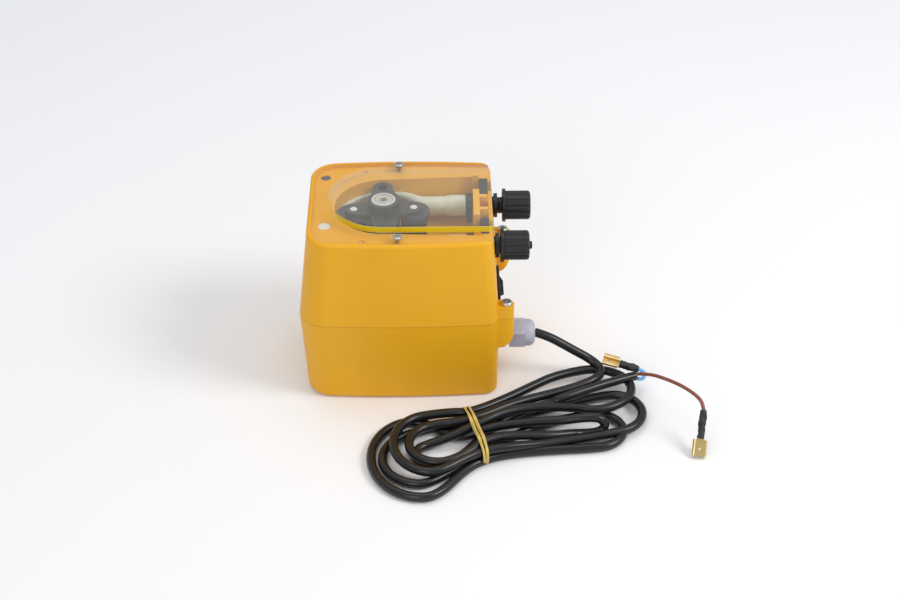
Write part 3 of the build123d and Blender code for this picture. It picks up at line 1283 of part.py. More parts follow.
def shrink_sleeve(start, end):
    """Heat-shrink sleeve over the wire's end and the terminal's crimp, open where the wire enters."""
    way = Vector(end) - Vector(start)
    with BuildPart() as sleeve:
        with BuildSketch(Plane(origin=start, z_dir=way.normalized())):
            Circle(SHRINK / 2 - 0.5)
        with BuildSketch(Plane(origin=tuple(Vector(start) + way * 0.45), z_dir=way.normalized())):
            Circle(SHRINK / 2 + 0.4)
        with BuildSketch(Plane(origin=end, z_dir=way.normalized())):
            Circle(SHRINK / 2 - 0.3)
        loft()
        with BuildSketch(Plane(origin=start, z_dir=way.normalized())):
            Circle(SHRINK_WIRE)
        extrude(amount=SHRINK_OVERLAP, mode=Mode.SUBTRACT)
    return sleeve.part


def spade(plane):
    """Push-on spade terminal: a sheet whose two edges are curled over to grip a tab."""
    half = SPADE_WIDTH / 2
    with BuildPart() as terminal:
        with BuildSketch(Plane(origin=plane.origin, x_dir=plane.x_dir, z_dir=plane.z_dir)):
            with Locations((SPADE_NECK / 2 + 0.15, 0)):
                Rectangle(SPADE_NECK, SHRINK * 0.6)
            with Locations((SPADE_NECK + SPADE_LENGTH / 2, 0)):
                Rectangle(SPADE_LENGTH, SPADE_WIDTH - 2 * SPADE_CURL)
                Circle(0.7, mode=Mode.SUBTRACT)
        extrude(amount=SPADE_SHEET / 2, both=True)
        curl_start = plane.origin + plane.x_dir * SPADE_NECK
        with BuildSketch(Plane(origin=curl_start, x_dir=plane.y_dir, z_dir=plane.x_dir)):
            for side in (-1, 1):
                with Locations((side * (half - SPADE_CURL), SPADE_CURL - SPADE_SHEET / 2)):
                    Circle(SPADE_CURL)
                    Circle(SPADE_CURL - SPADE_SHEET, mode=Mode.SUBTRACT)
        extrude(amount=SPADE_LENGTH)
    return terminal.part


BROWN_PLANE = toward(BROWN_POINTS[-1], BROWN_SHRINK_END, (0.0, 0.83, -0.55))
BLUE_PLANE = toward(BLUE_POINTS[-1], BLUE_SHRINK_END, (0.2, 0.5, 0.85))
brown_radii = bend_radii(BROWN_POINTS)
blue_radii = bend_radii(BLUE_POINTS)
print("wire radii", [round(r, 1) for r in brown_radii + blue_radii])

with BuildPart() as brown_wire:
    add(wire(CORE, BROWN_POINTS, brown_radii))

with BuildPart() as blue_wire:
    add(wire(CORE, BLUE_POINTS, blue_radii))

with BuildPart() as shrink_sleeves:
    add(shrink_sleeve(BROWN_POINTS[-1], BROWN_SHRINK_END))
    add(shrink_sleeve(BLUE_POINTS[-1], BLUE_SHRINK_END))

with BuildPart() as spade_terminals:
    add(spade(BROWN_PLANE))
    add(spade(BLUE_PLANE))

# ---- Export -------------------------------------------------------------------------------------
NODES = {
    "rear_shell": rear_shell,
    "front_shell": front_shell,
    "clear_cover": clear_cover,
    "cover_screws": cover_screws,
    "shell_screws": shell_screws,
    "deck_screw": deck_screw,
    "deck_plug": deck_plug,
    "pump_hose": pump_hose,
    "hose_clamps": hose_clamps,
    "suction_connector": suction_connector,
    "discharge_connector": discharge_connector,
    "suction_nut": suction_nut,
    "discharge_nut": discharge_nut,
    "suction_pinch_ring": suction_pinch_ring,
    "discharge_pinch_ring": discharge_pinch_ring,
    "rotor_frame": rotor_frame,
    "rotor_grub_screw": rotor_grub_screw,
    "roller_pins": roller_pins,
    "left_roller": left_roller,
    "right_roller": right_roller,
    "bearing_outer_ring": bearing_outer_ring,
    "bearing_inner_ring": bearing_inner_ring,
    "bearing_balls": bearing_balls,
    "output_shaft": output_shaft,
    "output_gear": output_gear,
    "idler_gear": idler_gear,
    "idler_pin": idler_pin,
    "motor_pinion": motor_pinion,
    "gear_case": gear_case,
    "case_screws": case_screws,
    "output_bush": output_bush,
    "motor_plate": motor_plate,
    "motor_can": motor_can,
    "motor_screws": motor_screws,
    "motor_stator": motor_stator,
    "motor_coil": motor_coil,
    "motor_magnet": motor_magnet,
    "motor_shaft": motor_shaft,
    "gland_body": gland_body,
    "gland_locknut": gland_locknut,
    "gland_seal": gland_seal,
    "gland_cap": gland_cap,
    "switch_body": switch_body,
    "switch_rocker": switch_rocker,
    "terminal_block": terminal_block,
    "terminal_screws": terminal_screws,
    "cable_inside": cable_inside,
    "cable_cores": cable_cores,
    "cable_lead": cable_lead,
    "cable_hank": cable_hank,
    "cable_tail": cable_tail,
    "rubber_band": rubber_band,
    "brown_wire": brown_wire,
    "blue_wire": blue_wire,
    "shrink_sleeves": shrink_sleeves,
    "spade_terminals": spade_terminals,
}
for name, node in NODES.items():
    node.part.label = name
    export_step(node.part, f"parts/{name}.step")
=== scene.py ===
import math

import bmesh
import bpy
from bpy.props import FloatProperty, FloatVectorProperty, IntProperty, PointerProperty
from mathutils import Matrix, Vector


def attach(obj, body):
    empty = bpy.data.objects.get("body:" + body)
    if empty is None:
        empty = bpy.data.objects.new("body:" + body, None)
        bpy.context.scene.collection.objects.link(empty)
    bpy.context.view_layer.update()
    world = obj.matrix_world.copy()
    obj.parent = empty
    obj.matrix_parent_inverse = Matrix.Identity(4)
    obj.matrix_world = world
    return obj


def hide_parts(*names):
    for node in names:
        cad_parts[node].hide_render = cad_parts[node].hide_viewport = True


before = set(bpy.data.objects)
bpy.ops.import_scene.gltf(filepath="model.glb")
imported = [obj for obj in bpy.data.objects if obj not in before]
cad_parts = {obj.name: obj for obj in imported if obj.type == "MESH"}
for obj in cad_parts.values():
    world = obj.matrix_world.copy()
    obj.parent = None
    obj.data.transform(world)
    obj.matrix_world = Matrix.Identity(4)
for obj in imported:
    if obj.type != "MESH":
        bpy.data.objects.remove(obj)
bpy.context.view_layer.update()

bl_info = {
    "name": "Peristaltic dosing pump",
    "version": (1, 0, 0),
    "blender": (4, 5, 0),
    "location": "3D View > Sidebar > Dosing Pump",
    "description": "Dresses the dosing pump frame with its finishes, mains lead and loose terminals",
    "category": "Object",
}

MM = 0.001

# ---- Places on the pump, metres ------------------------------------------------------------------
SEAM_Z = 0.0647
SEAM_SHADE_HALF = 0.0003
ROTOR_AXIS_X = -0.0098
WINDOW_INSIDE = 0.0347  # radii of the window's end wall, round the rotor's axis
WINDOW_OUTSIDE = 0.0372
REFLECTION_LOW = 0.1280  # heights between which a reflection of the yellow housing is painted on that wall
REFLECTION_HIGH = 0.1323
REFLECTION_END_Y = -0.016
REFLECTION_FADE = 0.012
BEARING_GROOVES = ((0.0057, 0.0063), (0.0035, 0.0040))  # inside and outside radii of the grooves, which are painted near-black as shade
THREAD_Y = 0.0242  # of the hose connectors' axes, to either side
THREAD_Z = 0.1085

# ---- Threads of the hose connectors, millimetres ------------------------------------------------
THREAD_START = 67.6
THREAD_PITCH = 2.0
THREAD_TURNS = 6
THREAD_STEPS = 20  # sections to a turn
THREAD_FADE = 8  # sections over which the ridge rises at either end
THREAD_CORE = 5.5
# Along the axis and out of the core.
THREAD_RIDGE = ((-0.62, -0.12), (-0.2, 0.26), (0.2, 0.26), (0.62, -0.12))

# ---- Route of the mains lead, millimetres -------------------------------------------------------
HANK_CENTRE = (51.5, -103.0)
HANK_ANGLE = math.radians(14.7)
LEAD_POINTS = [
    (92.62, -23.0, 34.6),
    (101.5, -24.2, 32.0),
    (111.0, -26.0, 27.0),
    (120.2, -27.0, 21.3),
    (129.8, -27.9, 15.6),
    (137.4, -33.4, 12.4),
    (138.0, -42.0, 12.2),
    (131.5, -49.4, 12.4),
]
TAIL_POINTS = [
    (107.5, -70.3, 13.6),
    (128.0, -60.7, 14.3),
    (146.0, -51.5, 13.6),
    (161.2, -44.5, 12.4),
]
# Each end loop of the hank: centre along and across the hank, half length and half width, tilt in
# degrees, height, the side that it starts from (+1 far, -1 near) and the sweep to each side.
LEFT_FOURTH = (-27.0, 0.0, -19.5, 19.0, 0.0, 9.2, 1, -100, 100)
LEFT_FIRST = (-40.5, -4.5, -32.5, 38.5, -7.0, 3.2, 1, -80, 100)
LEFT_SECOND = (-40.0, -5.0, -25.5, 25.5, -8.0, 3.3, -1, -92, 84)
LEFT_THIRD = (-31.0, 1.5, -25.5, 29.0, -8.0, 9.0, -1, -90, 100)
LEFT_INNER = (-31.0, -4.5, -13.0, 10.0, 0.0, 4.6, 1, -85, 85)
RIGHT_THIRD = (80.0, -9.0, 18.5, 17.0, 0.0, 3.2, -1, -95, 95)
RIGHT_SECOND = (95.0, 3.0, 21.0, 19.5, 0.0, 5.6, 1, -75, 95)
RIGHT_FIRST = (88.0, 26.5, 28.0, 22.0, -8.0, 9.3, 1, -88, 92)
LOOP_SWELL = 1.03  # a cord runs inside its control points

# ---- Rubber band, millimetres -------------------------------------------------------------------
# Its path round the hank, across it and up from the floor.
BAND_PATH = [
    (-21.0, 4.5), (-18.6, 0.9), (-12.0, 0.55), (4.0, 0.55), (20.0, 0.6), (27.6, 4.0), (28.9, 9.0),
    (26.9, 12.9), (21.0, 14.6), (14.5, 15.75), (6.5, 14.9), (-1.0, 14.6), (-7.5, 15.6),
    (-13.0, 14.9), (-19.0, 12.6), (-21.2, 8.5),
]
BAND_MIDDLE = (5.5, 8.0)
BAND_STEPS = 120
BAND_SIDES = 10
BAND_HALF_THICK = 0.42
BAND_LOWEST = 0.12

# ---- Loose wires, sleeves and terminals, millimetres --------------------------------------------
BROWN_POINTS = [
    (161.4, -43.7, 13.5),
    (169.8, -49.3, 18.0),
    (178.5, -62.0, 24.2),
    (187.3, -75.2, 29.0),
    (192.9, -83.7, 30.8),
    (197.6, -91.3, 31.4),
    (200.3, -95.6, 29.6),
    (200.9, -98.5, 25.9),
]
BROWN_SLEEVE_END = (198.9, -108.3, 13.5)
BROWN_FACE = (0.0, 0.83, -0.55)
BLUE_POINTS = [
    (161.3, -45.3, 11.2),
    (165.6, -45.6, 9.6),
    (168.2, -42.4, 10.6),
    (167.4, -40.3, 13.4),
    (163.8, -40.0, 14.6),
]
BLUE_SLEEVE_END = (153.6, -36.9, 16.0)
BLUE_FACE = (0.1, -0.2, 0.95)
# Share of the way from the wire's end to the crimp's end, and the sleeve's radius there.
SLEEVE_PROFILE = [
    (-0.02, 1.55), (0.0, 2.1), (0.10, 2.3), (0.25, 2.5), (0.42, 2.7), (0.60, 2.55), (0.8, 2.4),
    (1.0, 2.4), (1.22, 2.45), (1.26, 2.15),
]
SLEEVE_RUN_IN = 0.02
SLEEVE_PAST_CRIMP = 2.8
SLEEVE_STEPS = 28
SLEEVE_SIDES = 28
PLATE_HALF = 4.45
PLATE_FLAT = 6.3
PLATE_DROP = 0.4  # of the plate's middle below the wire's axis
PLATE_STATIONS = [3.6, 3.8, 4.8, 6.0, 7.5, 9.0, 10.5, 12.0, 13.5, 14.3, 14.6]
FLARE_START = 13.4
CURL = 1.3  # radius of the plate's rolled edges
CURL_STEPS = 15
CURL_STEP = 22  # degrees
HOLE_AT = 9.75
HOLE_R = 0.75
# Stations of the neck: along the terminal, half its width and the rise of its edges.
NECK = [
    (0.1, 1.65, 0.9), (1.2, 1.7, 0.75), (2.0, 1.75, 0.4), (2.6, 1.9, 0.15), (3.1, 2.6, 0.0),
    (3.6, 3.3, 0.0),
]
SHEET_THICKNESS = 0.75
SHEET_ROUNDING = 0.14


# ---- Settings -----------------------------------------------------------------------------------
class PumpColours(bpy.types.PropertyGroup):
    """Colours of the pump's mouldings, hose and lead."""

    housing: FloatVectorProperty(
        name="Housing", description="Moulded plastic of both shells", subtype="COLOR", size=3,
        min=0, max=1, default=(0.84, 0.415, 0.006),
    )
    rotor: FloatVectorProperty(
        name="Rotor", description="Rotor frame in the pump chamber", subtype="COLOR", size=3,
        min=0, max=1, default=(0.032, 0.034, 0.034),
    )
    fittings: FloatVectorProperty(
        name="Hose fittings", description="Union nuts and nipples", subtype="COLOR", size=3,
        min=0, max=1, default=(0.009, 0.009, 0.012),
    )
    gland: FloatVectorProperty(
        name="Cable gland", description="Nylon gland body and cap", subtype="COLOR", size=3,
        min=0, max=1, default=(0.45, 0.455, 0.55),
    )
    hose: FloatVectorProperty(
        name="Pump hose", description="Squeezed hose in the chamber", subtype="COLOR", size=3,
        min=0, max=1, default=(0.62, 0.62, 0.47),
    )
    cable: FloatVectorProperty(
        name="Mains lead", description="Sheath of the mains lead", subtype="COLOR", size=3,
        min=0, max=1, default=(0.0055, 0.006, 0.0075),
    )
    band: FloatVectorProperty(
        name="Rubber band", description="Band that ties the hank", subtype="COLOR", size=3,
        min=0, max=1, default=(0.62, 0.46, 0.12),
    )
    brown: FloatVectorProperty(
        name="Brown wire", description="Insulation of the live wire", subtype="COLOR", size=3,
        min=0, max=1, default=(0.26, 0.085, 0.055),
    )
    blue: FloatVectorProperty(
        name="Blue wire", description="Insulation of the neutral wire", subtype="COLOR", size=3,
        min=0, max=1, default=(0.14, 0.42, 0.82),
    )
    brass: FloatVectorProperty(
        name="Terminals", description="Stamped brass of the spade terminals", subtype="COLOR",
        size=3, min=0, max=1, default=(0.80, 0.60, 0.26),
    )


class PumpSizes(bpy.types.PropertyGroup):
    """Sizes of the soft pieces that the scene lays beside the pump."""

    cable: FloatProperty(
        name="Lead diameter", description="Outside diameter of the mains lead", subtype="DISTANCE",
        unit="LENGTH", min=0.003, max=0.012, precision=4, default=0.0063,
    )
    core: FloatProperty(
        name="Wire diameter", description="Outside diameter of one insulated wire",
        subtype="DISTANCE", unit="LENGTH", min=0.001, max=0.004, precision=4, default=0.0025,
    )
    band: FloatProperty(
        name="Band strand", description="Width of one strand of the rubber band",
        subtype="DISTANCE", unit="LENGTH", min=0.0005, max=0.004, precision=4, default=0.0024,
    )
    floor: FloatProperty(
        name="Floor", description="Side of the pale floor", subtype="DISTANCE", unit="LENGTH",
        min=2, max=40, default=16.0,
    )
    loop_points: IntProperty(
        name="Loop points", description="Route points round each end loop of the hank",
        min=6, max=14, default=7,
    )


def colours():
    return bpy.context.scene.pump_colours


def sizes():
    return bpy.context.scene.pump_sizes


# ---- Finishes -----------------------------------------------------------------------------------
class Value:
    """A number that varies over a surface. Sums with it add the nodes that work them out."""

    def __init__(self, tree, socket):
        self.tree = tree
        self.socket = socket

    def _work(self, operation, first, second, clamp=False):
        node = self.tree.nodes.new("ShaderNodeMath")
        node.operation = operation
        node.use_clamp = clamp
        for place, term in zip(node.inputs, (first, second)):
            if isinstance(term, Value):
                self.tree.links.new(term.socket, place)
            else:
                place.default_value = term
        return Value(self.tree, node.outputs[0])

    def __add__(self, other):
        return self._work("ADD", self, other)

    def __radd__(self, other):
        return self._work("ADD", other, self)

    def __sub__(self, other):
        return self._work("SUBTRACT", self, other)

    def __rsub__(self, other):
        return self._work("SUBTRACT", other, self)

    def __mul__(self, other):
        return self._work("MULTIPLY", self, other)

    def __rmul__(self, other):
        return self._work("MULTIPLY", other, self)

    def above(self, edge, softness):
        """0 below the edge, 1 above it, with a ramp as wide as softness."""
        return self._work("MULTIPLY", self - (edge - softness / 2), 1 / softness, clamp=True)

    def between(self, low, high, softness):
        """1 from low to high, 0 outside, with the same ramp at both edges."""
        return self.above(low, softness) * (1 - self.above(high, softness))

    def largest(self, other):
        return self._work("MAXIMUM", self, other)

    def smallest(self, other):
        return self._work("MINIMUM", self, other)


class Finish:
    """One material: its shader and the patterns that feed it."""

    def __init__(self, name, **constants):
        self.material = bpy.data.materials.new(f"{name}_finish")
        self.material.use_nodes = True
        self.tree = self.material.node_tree
        self.tree.nodes.clear()
        self.shader = self.node("ShaderNodeBsdfPrincipled")
        self.node("ShaderNodeOutputMaterial", Surface=self.shader.outputs[0])
        self.place = self.node("ShaderNodeTexCoord").outputs["Object"]
        self.feed(self.shader, **{k.replace("_", " "): v for k, v in constants.items()})

    def node(self, kind, settings=None, **sockets):
        made = self.tree.nodes.new(kind)
        for key, setting in (settings or {}).items():
            setattr(made, key, setting)
        self.feed(made, **sockets)
        return made

    def feed(self, node, **sockets):
        """Sets or links inputs by name. A name such as _6 means the input of that number."""
        for name, given in sockets.items():
            place = node.inputs[int(name[1:])] if name[0] == "_" else node.inputs[name]
            if isinstance(given, Value):
                given = given.socket
            if isinstance(given, bpy.types.NodeSocket):
                self.tree.links.new(given, place)
            elif place.type == "RGBA" and len(given) == 3:
                place.default_value = (*given, 1)
            else:
                place.default_value = given

    def value(self, socket):
        return Value(self.tree, socket)

    def where(self, stretch=(1, 1, 1)):
        return self.node("ShaderNodeMapping", Vector=self.place, Scale=stretch).outputs[0]

    def noise(self, scale, detail=2.0, roughness=0.5, stretch=(1, 1, 1)):
        made = self.node(
            "ShaderNodeTexNoise", Vector=self.where(stretch), Scale=scale, Detail=detail,
            Roughness=roughness,
        )
        return self.value(made.outputs[0])

    def cells(self, scale):
        made = self.node("ShaderNodeTexVoronoi", Vector=self.where(), Scale=scale)
        return self.value(made.outputs["Distance"])

    def stripes(self, scale, direction, distortion):
        made = self.node(
            "ShaderNodeTexWave", {"bands_direction": direction}, Vector=self.where(), Scale=scale,
            Distortion=distortion,
        )
        return self.value(made.outputs["Fac"])

    def axis(self, name):
        split = self.node("ShaderNodeSeparateXYZ", Vector=self.place)
        return self.value(split.outputs[name])

    def mix(self, mask, below, above):
        made = self.node("ShaderNodeMix", {"data_type": "RGBA"}, _0=mask, _6=below, _7=above)
        return made.outputs[2]

    def surface(self, base, roughness, **more):
        self.feed(self.shader, **{"Base Color": base, "Roughness": roughness}, **more)

    def relief(self, height, depth, strength):
        bump = self.node("ShaderNodeBump", Height=height, Distance=depth, Strength=strength)
        self.feed(self.shader, Normal=bump.outputs[0])


def shade(colour, factor):
    return tuple(min(1.0, channel * factor) for channel in colour)


def moulding(name, colour, rough, grain, depth, mottle, dust, **constants):
    """Injection-moulded plastic: faint flow mottling, a spark-eroded grain and specks of dust."""
    finish = Finish(name, **constants)
    flow = finish.noise(28, 3, 0.6, (1, 1, 0.35))
    speckle = finish.noise(grain * 0.55, 2, 0.6)
    specks = finish.cells(420).above(0.055, 0.03)
    base = finish.mix(flow.above(0.5, 0.5), shade(colour, 1 - mottle), shade(colour, 1 + mottle))
    base = finish.mix((1 - specks) * dust, base, (0.62, 0.60, 0.55))
    rub = finish.noise(90, 4, 0.65, (1, 0.15, 1)).above(0.6, 0.2)
    finish.surface(base, rough + 0.10 * speckle - 0.05 + 0.08 * rub)
    finish.relief(finish.noise(grain, 2, 0.55) + 0.35 * speckle, depth, 0.55)


def metal(name, colour, rough, stretch, lines, stain):
    """Bare metal: tool lines along one way, a few scratches and dull patches."""
    finish = Finish(name, Metallic=1.0)
    tool = finish.noise(lines, 3, 0.65, stretch)
    patch = finish.noise(150, 4, 0.6)
    scratch = finish.noise(900, 4, 0.8, (1, 0.08, 1)).above(0.66, 0.05)
    base = finish.mix(patch.above(0.52, 0.4) * stain * 2, colour, shade(colour, 0.62))
    base = finish.mix(scratch * 0.3, base, shade(colour, 1.2))
    finish.surface(base, rough + 0.16 * tool + 0.14 * patch - 0.10)
    finish.relief(tool + 0.6 * scratch, 0.00004, 0.5)


def wire_finish(name, tone):
    finish = Finish(name)
    cloud = finish.noise(240, 3, 0.6)
    rub = finish.noise(700, 3, 0.7).above(0.62, 0.1)
    base = finish.mix(cloud.above(0.5, 0.4), shade(tone, 0.84), shade(tone, 1.22))
    base = finish.mix(rub * 0.25, base, (0.60, 0.56, 0.54))
    finish.surface(base, 0.36 + 0.14 * cloud)
    finish.relief(finish.noise(1500, 2), 0.00004, 0.5)


def housing_finish():
    """Warm moulded plastic with a painted shade line at the seam of the shells."""
    paint = colours().housing
    finish = Finish(
        "housing_yellow", Specular_IOR_Level=0.35, Subsurface_Weight=0.04,
        Subsurface_Radius=(0.006, 0.003, 0.0005),
    )
    flow = finish.noise(16, 3, 0.55, (1, 1, 0.3))
    cloud = finish.noise(55, 4, 0.6)
    specks = (1 - finish.cells(300).above(0.05, 0.03)) * finish.noise(40, 1).above(0.56, 0.1)
    warm = (paint[0] * 1.03, paint[1] * 1.05, paint[2] * 1.5)
    base = finish.mix(flow.above(0.5, 0.45), shade(paint, 0.95), warm)
    base = finish.mix(cloud.above(0.62, 0.3) * 0.22, base, shade(paint, 0.88))
    base = finish.mix(specks * 0.30, base, (0.36, 0.17, 0.02))
    # Painted shade: a thin band at the height of the seam is coloured darker, for the shade in the
    # gap between the shells.
    seam = finish.axis("Z").between(SEAM_Z - SEAM_SHADE_HALF, SEAM_Z + SEAM_SHADE_HALF, 0.0002)
    base = finish.mix(seam * 0.55, base, (0.42, 0.19, 0.008))
    scuff = finish.noise(130, 5, 0.7, (0.12, 1, 1)).above(0.66, 0.08)
    finish.surface(base, 0.36 + 0.10 * cloud + 0.08 * scuff)
    grain = finish.noise(1500, 2, 0.6) + 1.6 * finish.noise(120, 2)
    finish.relief(grain - 0.4 * scuff, 0.00006, 0.6)


def clear_finish():
    """Clear cover: a see-through sheet with a light haze, bright edges and a painted yellow
    reflection of the housing on its end wall.
    """
    finish = Finish("clear_plastic")
    haze = finish.noise(60, 4, 0.6)
    scratch = finish.noise(260, 4, 0.75, (0.06, 1, 1)).above(0.66, 0.05)
    edge = finish.value(finish.node("ShaderNodeLayerWeight", Blend=0.5).outputs["Facing"])
    # Painted reflection: a band of the window's end wall, between two heights and fading out towards
    # the back, is coloured yellow and made nearly opaque for the yellow housing seen in that wall.
    height, across = finish.axis("Z"), finish.axis("Y")
    past_axis = (finish.axis("X") - ROTOR_AXIS_X).smallest(0.0)
    spread = past_axis * past_axis + across * across
    housing_reflection = spread.between(WINDOW_INSIDE ** 2, WINDOW_OUTSIDE ** 2, 0.00002)
    housing_reflection = housing_reflection * height.between(REFLECTION_LOW, REFLECTION_HIGH, 0.0006)
    housing_reflection = housing_reflection * (1 - across.above(REFLECTION_END_Y, REFLECTION_FADE))
    base = finish.mix(haze.above(0.5, 0.5), (0.90, 0.89, 0.83), (0.96, 0.95, 0.90))
    base = finish.mix(housing_reflection, base, (0.80, 0.62, 0.012))
    sheet = 0.008 + 0.02 * haze + 0.62 * edge * edge * edge + 0.04 * scratch
    finish.surface(base, 0.05 + 0.04 * haze + 0.1 * scratch, Alpha=sheet.largest(housing_reflection * 0.8))
    finish.relief(finish.noise(35, 2), 0.0001, 0.2)


def hose_finish():
    tone = colours().hose
    finish = Finish("hose_rubber", Subsurface_Weight=0.35, Subsurface_Scale=0.004)
    cloud = finish.noise(70, 4, 0.6)
    streak = finish.noise(160, 3, 0.6, (0.1, 1, 1))
    base = finish.mix(cloud.above(0.5, 0.5), shade(tone, 0.86), shade(tone, 1.12))
    base = finish.mix(streak.above(0.58, 0.2) * 0.3, base, (0.74, 0.72, 0.60))
    finish.surface(base, 0.42 + 0.12 * streak)
    finish.relief(streak + 0.4 * finish.noise(900, 2), 0.00008, 0.6)


def cable_finish():
    tone = colours().cable
    finish = Finish("cable_black")
    bloom = finish.noise(38, 4, 0.6)
    rub = finish.noise(210, 4, 0.7).above(0.66, 0.1)
    base = finish.mix(bloom.above(0.5, 0.4), shade(tone, 0.8), shade(tone, 1.5))
    base = finish.mix(rub * 0.3, base, (0.03, 0.032, 0.036))
    finish.surface(base, 0.27 + 0.08 * bloom + 0.10 * rub)
    finish.relief(finish.noise(1400, 2, 0.6) + 0.8 * finish.noise(260, 3), 0.00002, 0.4)


def band_finish():
    tone = colours().band
    finish = Finish("band_yellow", Subsurface_Weight=0.15, Subsurface_Scale=0.002)
    cloud = finish.noise(180, 3, 0.6)
    base = finish.mix(cloud.above(0.5, 0.4), shade(tone, 0.82), shade(tone, 1.2))
    finish.surface(base, 0.46 + 0.15 * cloud)
    finish.relief(finish.noise(1100, 3) + cloud, 0.00008, 0.7)


def sleeve_finish():
    finish = Finish("sleeve_black")
    fold = finish.noise(300, 4, 0.6)
    base = finish.mix(fold.above(0.55, 0.3), (0.011, 0.012, 0.014), (0.035, 0.037, 0.042))
    finish.surface(base, 0.38 + 0.2 * fold)
    finish.relief(fold + 0.4 * finish.noise(1300, 2), 0.00016, 0.8)


def bearing_finish():
    """Ground rings with a pale shield and painted shade in the grooves round the rotor's axis."""
    finish = Finish("bearing_steel")
    along, across = finish.axis("X") - ROTOR_AXIS_X, finish.axis("Y")
    spread = along * along + across * across
    outer, inner = (
        spread.between(low ** 2, high ** 2, 0.000001) for low, high in BEARING_GROOVES
    )
    groove_shade = outer.largest(inner)
    patch = finish.noise(160, 4, 0.6)
    base = finish.mix(patch.above(0.5, 0.4), (0.62, 0.61, 0.53), (0.74, 0.73, 0.64))
    # Painted shade: the grooves between the rings and the shield are coloured near-black for the
    # shade that falls in them.
    base = finish.mix(groove_shade * 0.75, base, (0.06, 0.06, 0.055))
    finish.surface(base, 0.26 + 0.12 * patch, Metallic=0.25 * (1 - groove_shade))
    finish.relief(1 - groove_shade, 0.0001, 0.6)


def copper_finish():
    finish = Finish("copper", Metallic=0.85, Coat_Weight=0.4)
    windings_and_shade = finish.stripes(420, "Y", 1.2)
    cloud = finish.noise(130, 3)
    # Painted shade: the gaps between the wire's windings are coloured a much deeper copper for the
    # shade between them; the bump follows the same pattern.
    base = finish.mix(windings_and_shade, (0.20, 0.07, 0.03), (0.76, 0.36, 0.17))
    base = finish.mix(cloud.above(0.6, 0.2) * 0.3, base, (0.34, 0.13, 0.05))
    finish.surface(base, 0.30 + 0.2 * cloud)
    finish.relief(windings_and_shade, 0.00025, 0.8)


def make_finishes():
    """Mixes the finish of every slot."""
    tone = colours()
    moulding("dark_plastic", tone.rotor, 0.36, 1300, 0.00006, 0.2, 0.15, Coat_Weight=0.15)
    moulding("black_plastic", tone.fittings, 0.40, 1100, 0.00007, 0.25, 0.12)
    moulding("gland_grey", tone.gland, 0.38, 1000, 0.00005, 0.06, 0.12)
    moulding("cream_plastic", (0.72, 0.68, 0.58), 0.42, 900, 0.00005, 0.08, 0.2)
    moulding("seal_rubber", (0.02, 0.02, 0.021), 0.6, 800, 0.0001, 0.2, 0.2)
    moulding("gear_plastic", (0.78, 0.77, 0.72), 0.36, 1000, 0.00004, 0.06, 0.1)
    metal("steel", (0.62, 0.61, 0.59), 0.28, (1, 0.12, 1), 900, 0.18)
    metal("dark_steel", (0.13, 0.12, 0.11), 0.42, (1, 1, 1), 500, 0.3)
    metal("brass", tone.brass, 0.26, (0.15, 1, 1), 800, 0.22)
    metal("grey_casting", (0.50, 0.51, 0.52), 0.48, (1, 1, 1), 500, 0.2)
    wire_finish("wire_brown", tone.brown)
    wire_finish("wire_blue", tone.blue)
    for finish in (
        housing_finish, clear_finish, hose_finish, cable_finish, band_finish, sleeve_finish,
        bearing_finish, copper_finish,
    ):
        finish()


def finish_of(slot):
    found = bpy.data.materials.get(f"{slot}_finish")
    if found is None:
        raise RuntimeError(f"the finish {slot} has to be mixed first")
    return found


def dress(slot, *names):
    """Gives CAD nodes the finish of a slot."""
    for name in names:
        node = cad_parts[name]
        node.data.materials.clear()
        node.data.materials.append(finish_of(slot))


# ---- Building helpers ---------------------------------------------------------------------------
def metres(point):
    return Vector(point) * MM


def on_hank(u, v, z):
    """A point given along and across the hank, in millimetres of the pump's frame."""
    c, s = math.cos(HANK_ANGLE), math.sin(HANK_ANGLE)
    return (HANK_CENTRE[0] + u * c - v * s, HANK_CENTRE[1] + u * s + v * c, z)


def end_loop(loop):
    """Route points round one end of the hank."""
    u, v, long, wide, tilt, z, side, start, stop = loop
    turn, count = math.radians(tilt), sizes().loop_points
    points = []
    for i in range(count):
        a = math.radians(start + (stop - start) * i / (count - 1))
        x, y = LOOP_SWELL * long * math.cos(a), -side * LOOP_SWELL * wide * math.sin(a)
        points.append((
            u + x * math.cos(turn) - y * math.sin(turn),
            v + x * math.sin(turn) + y * math.cos(turn),
            z,
        ))
    return points


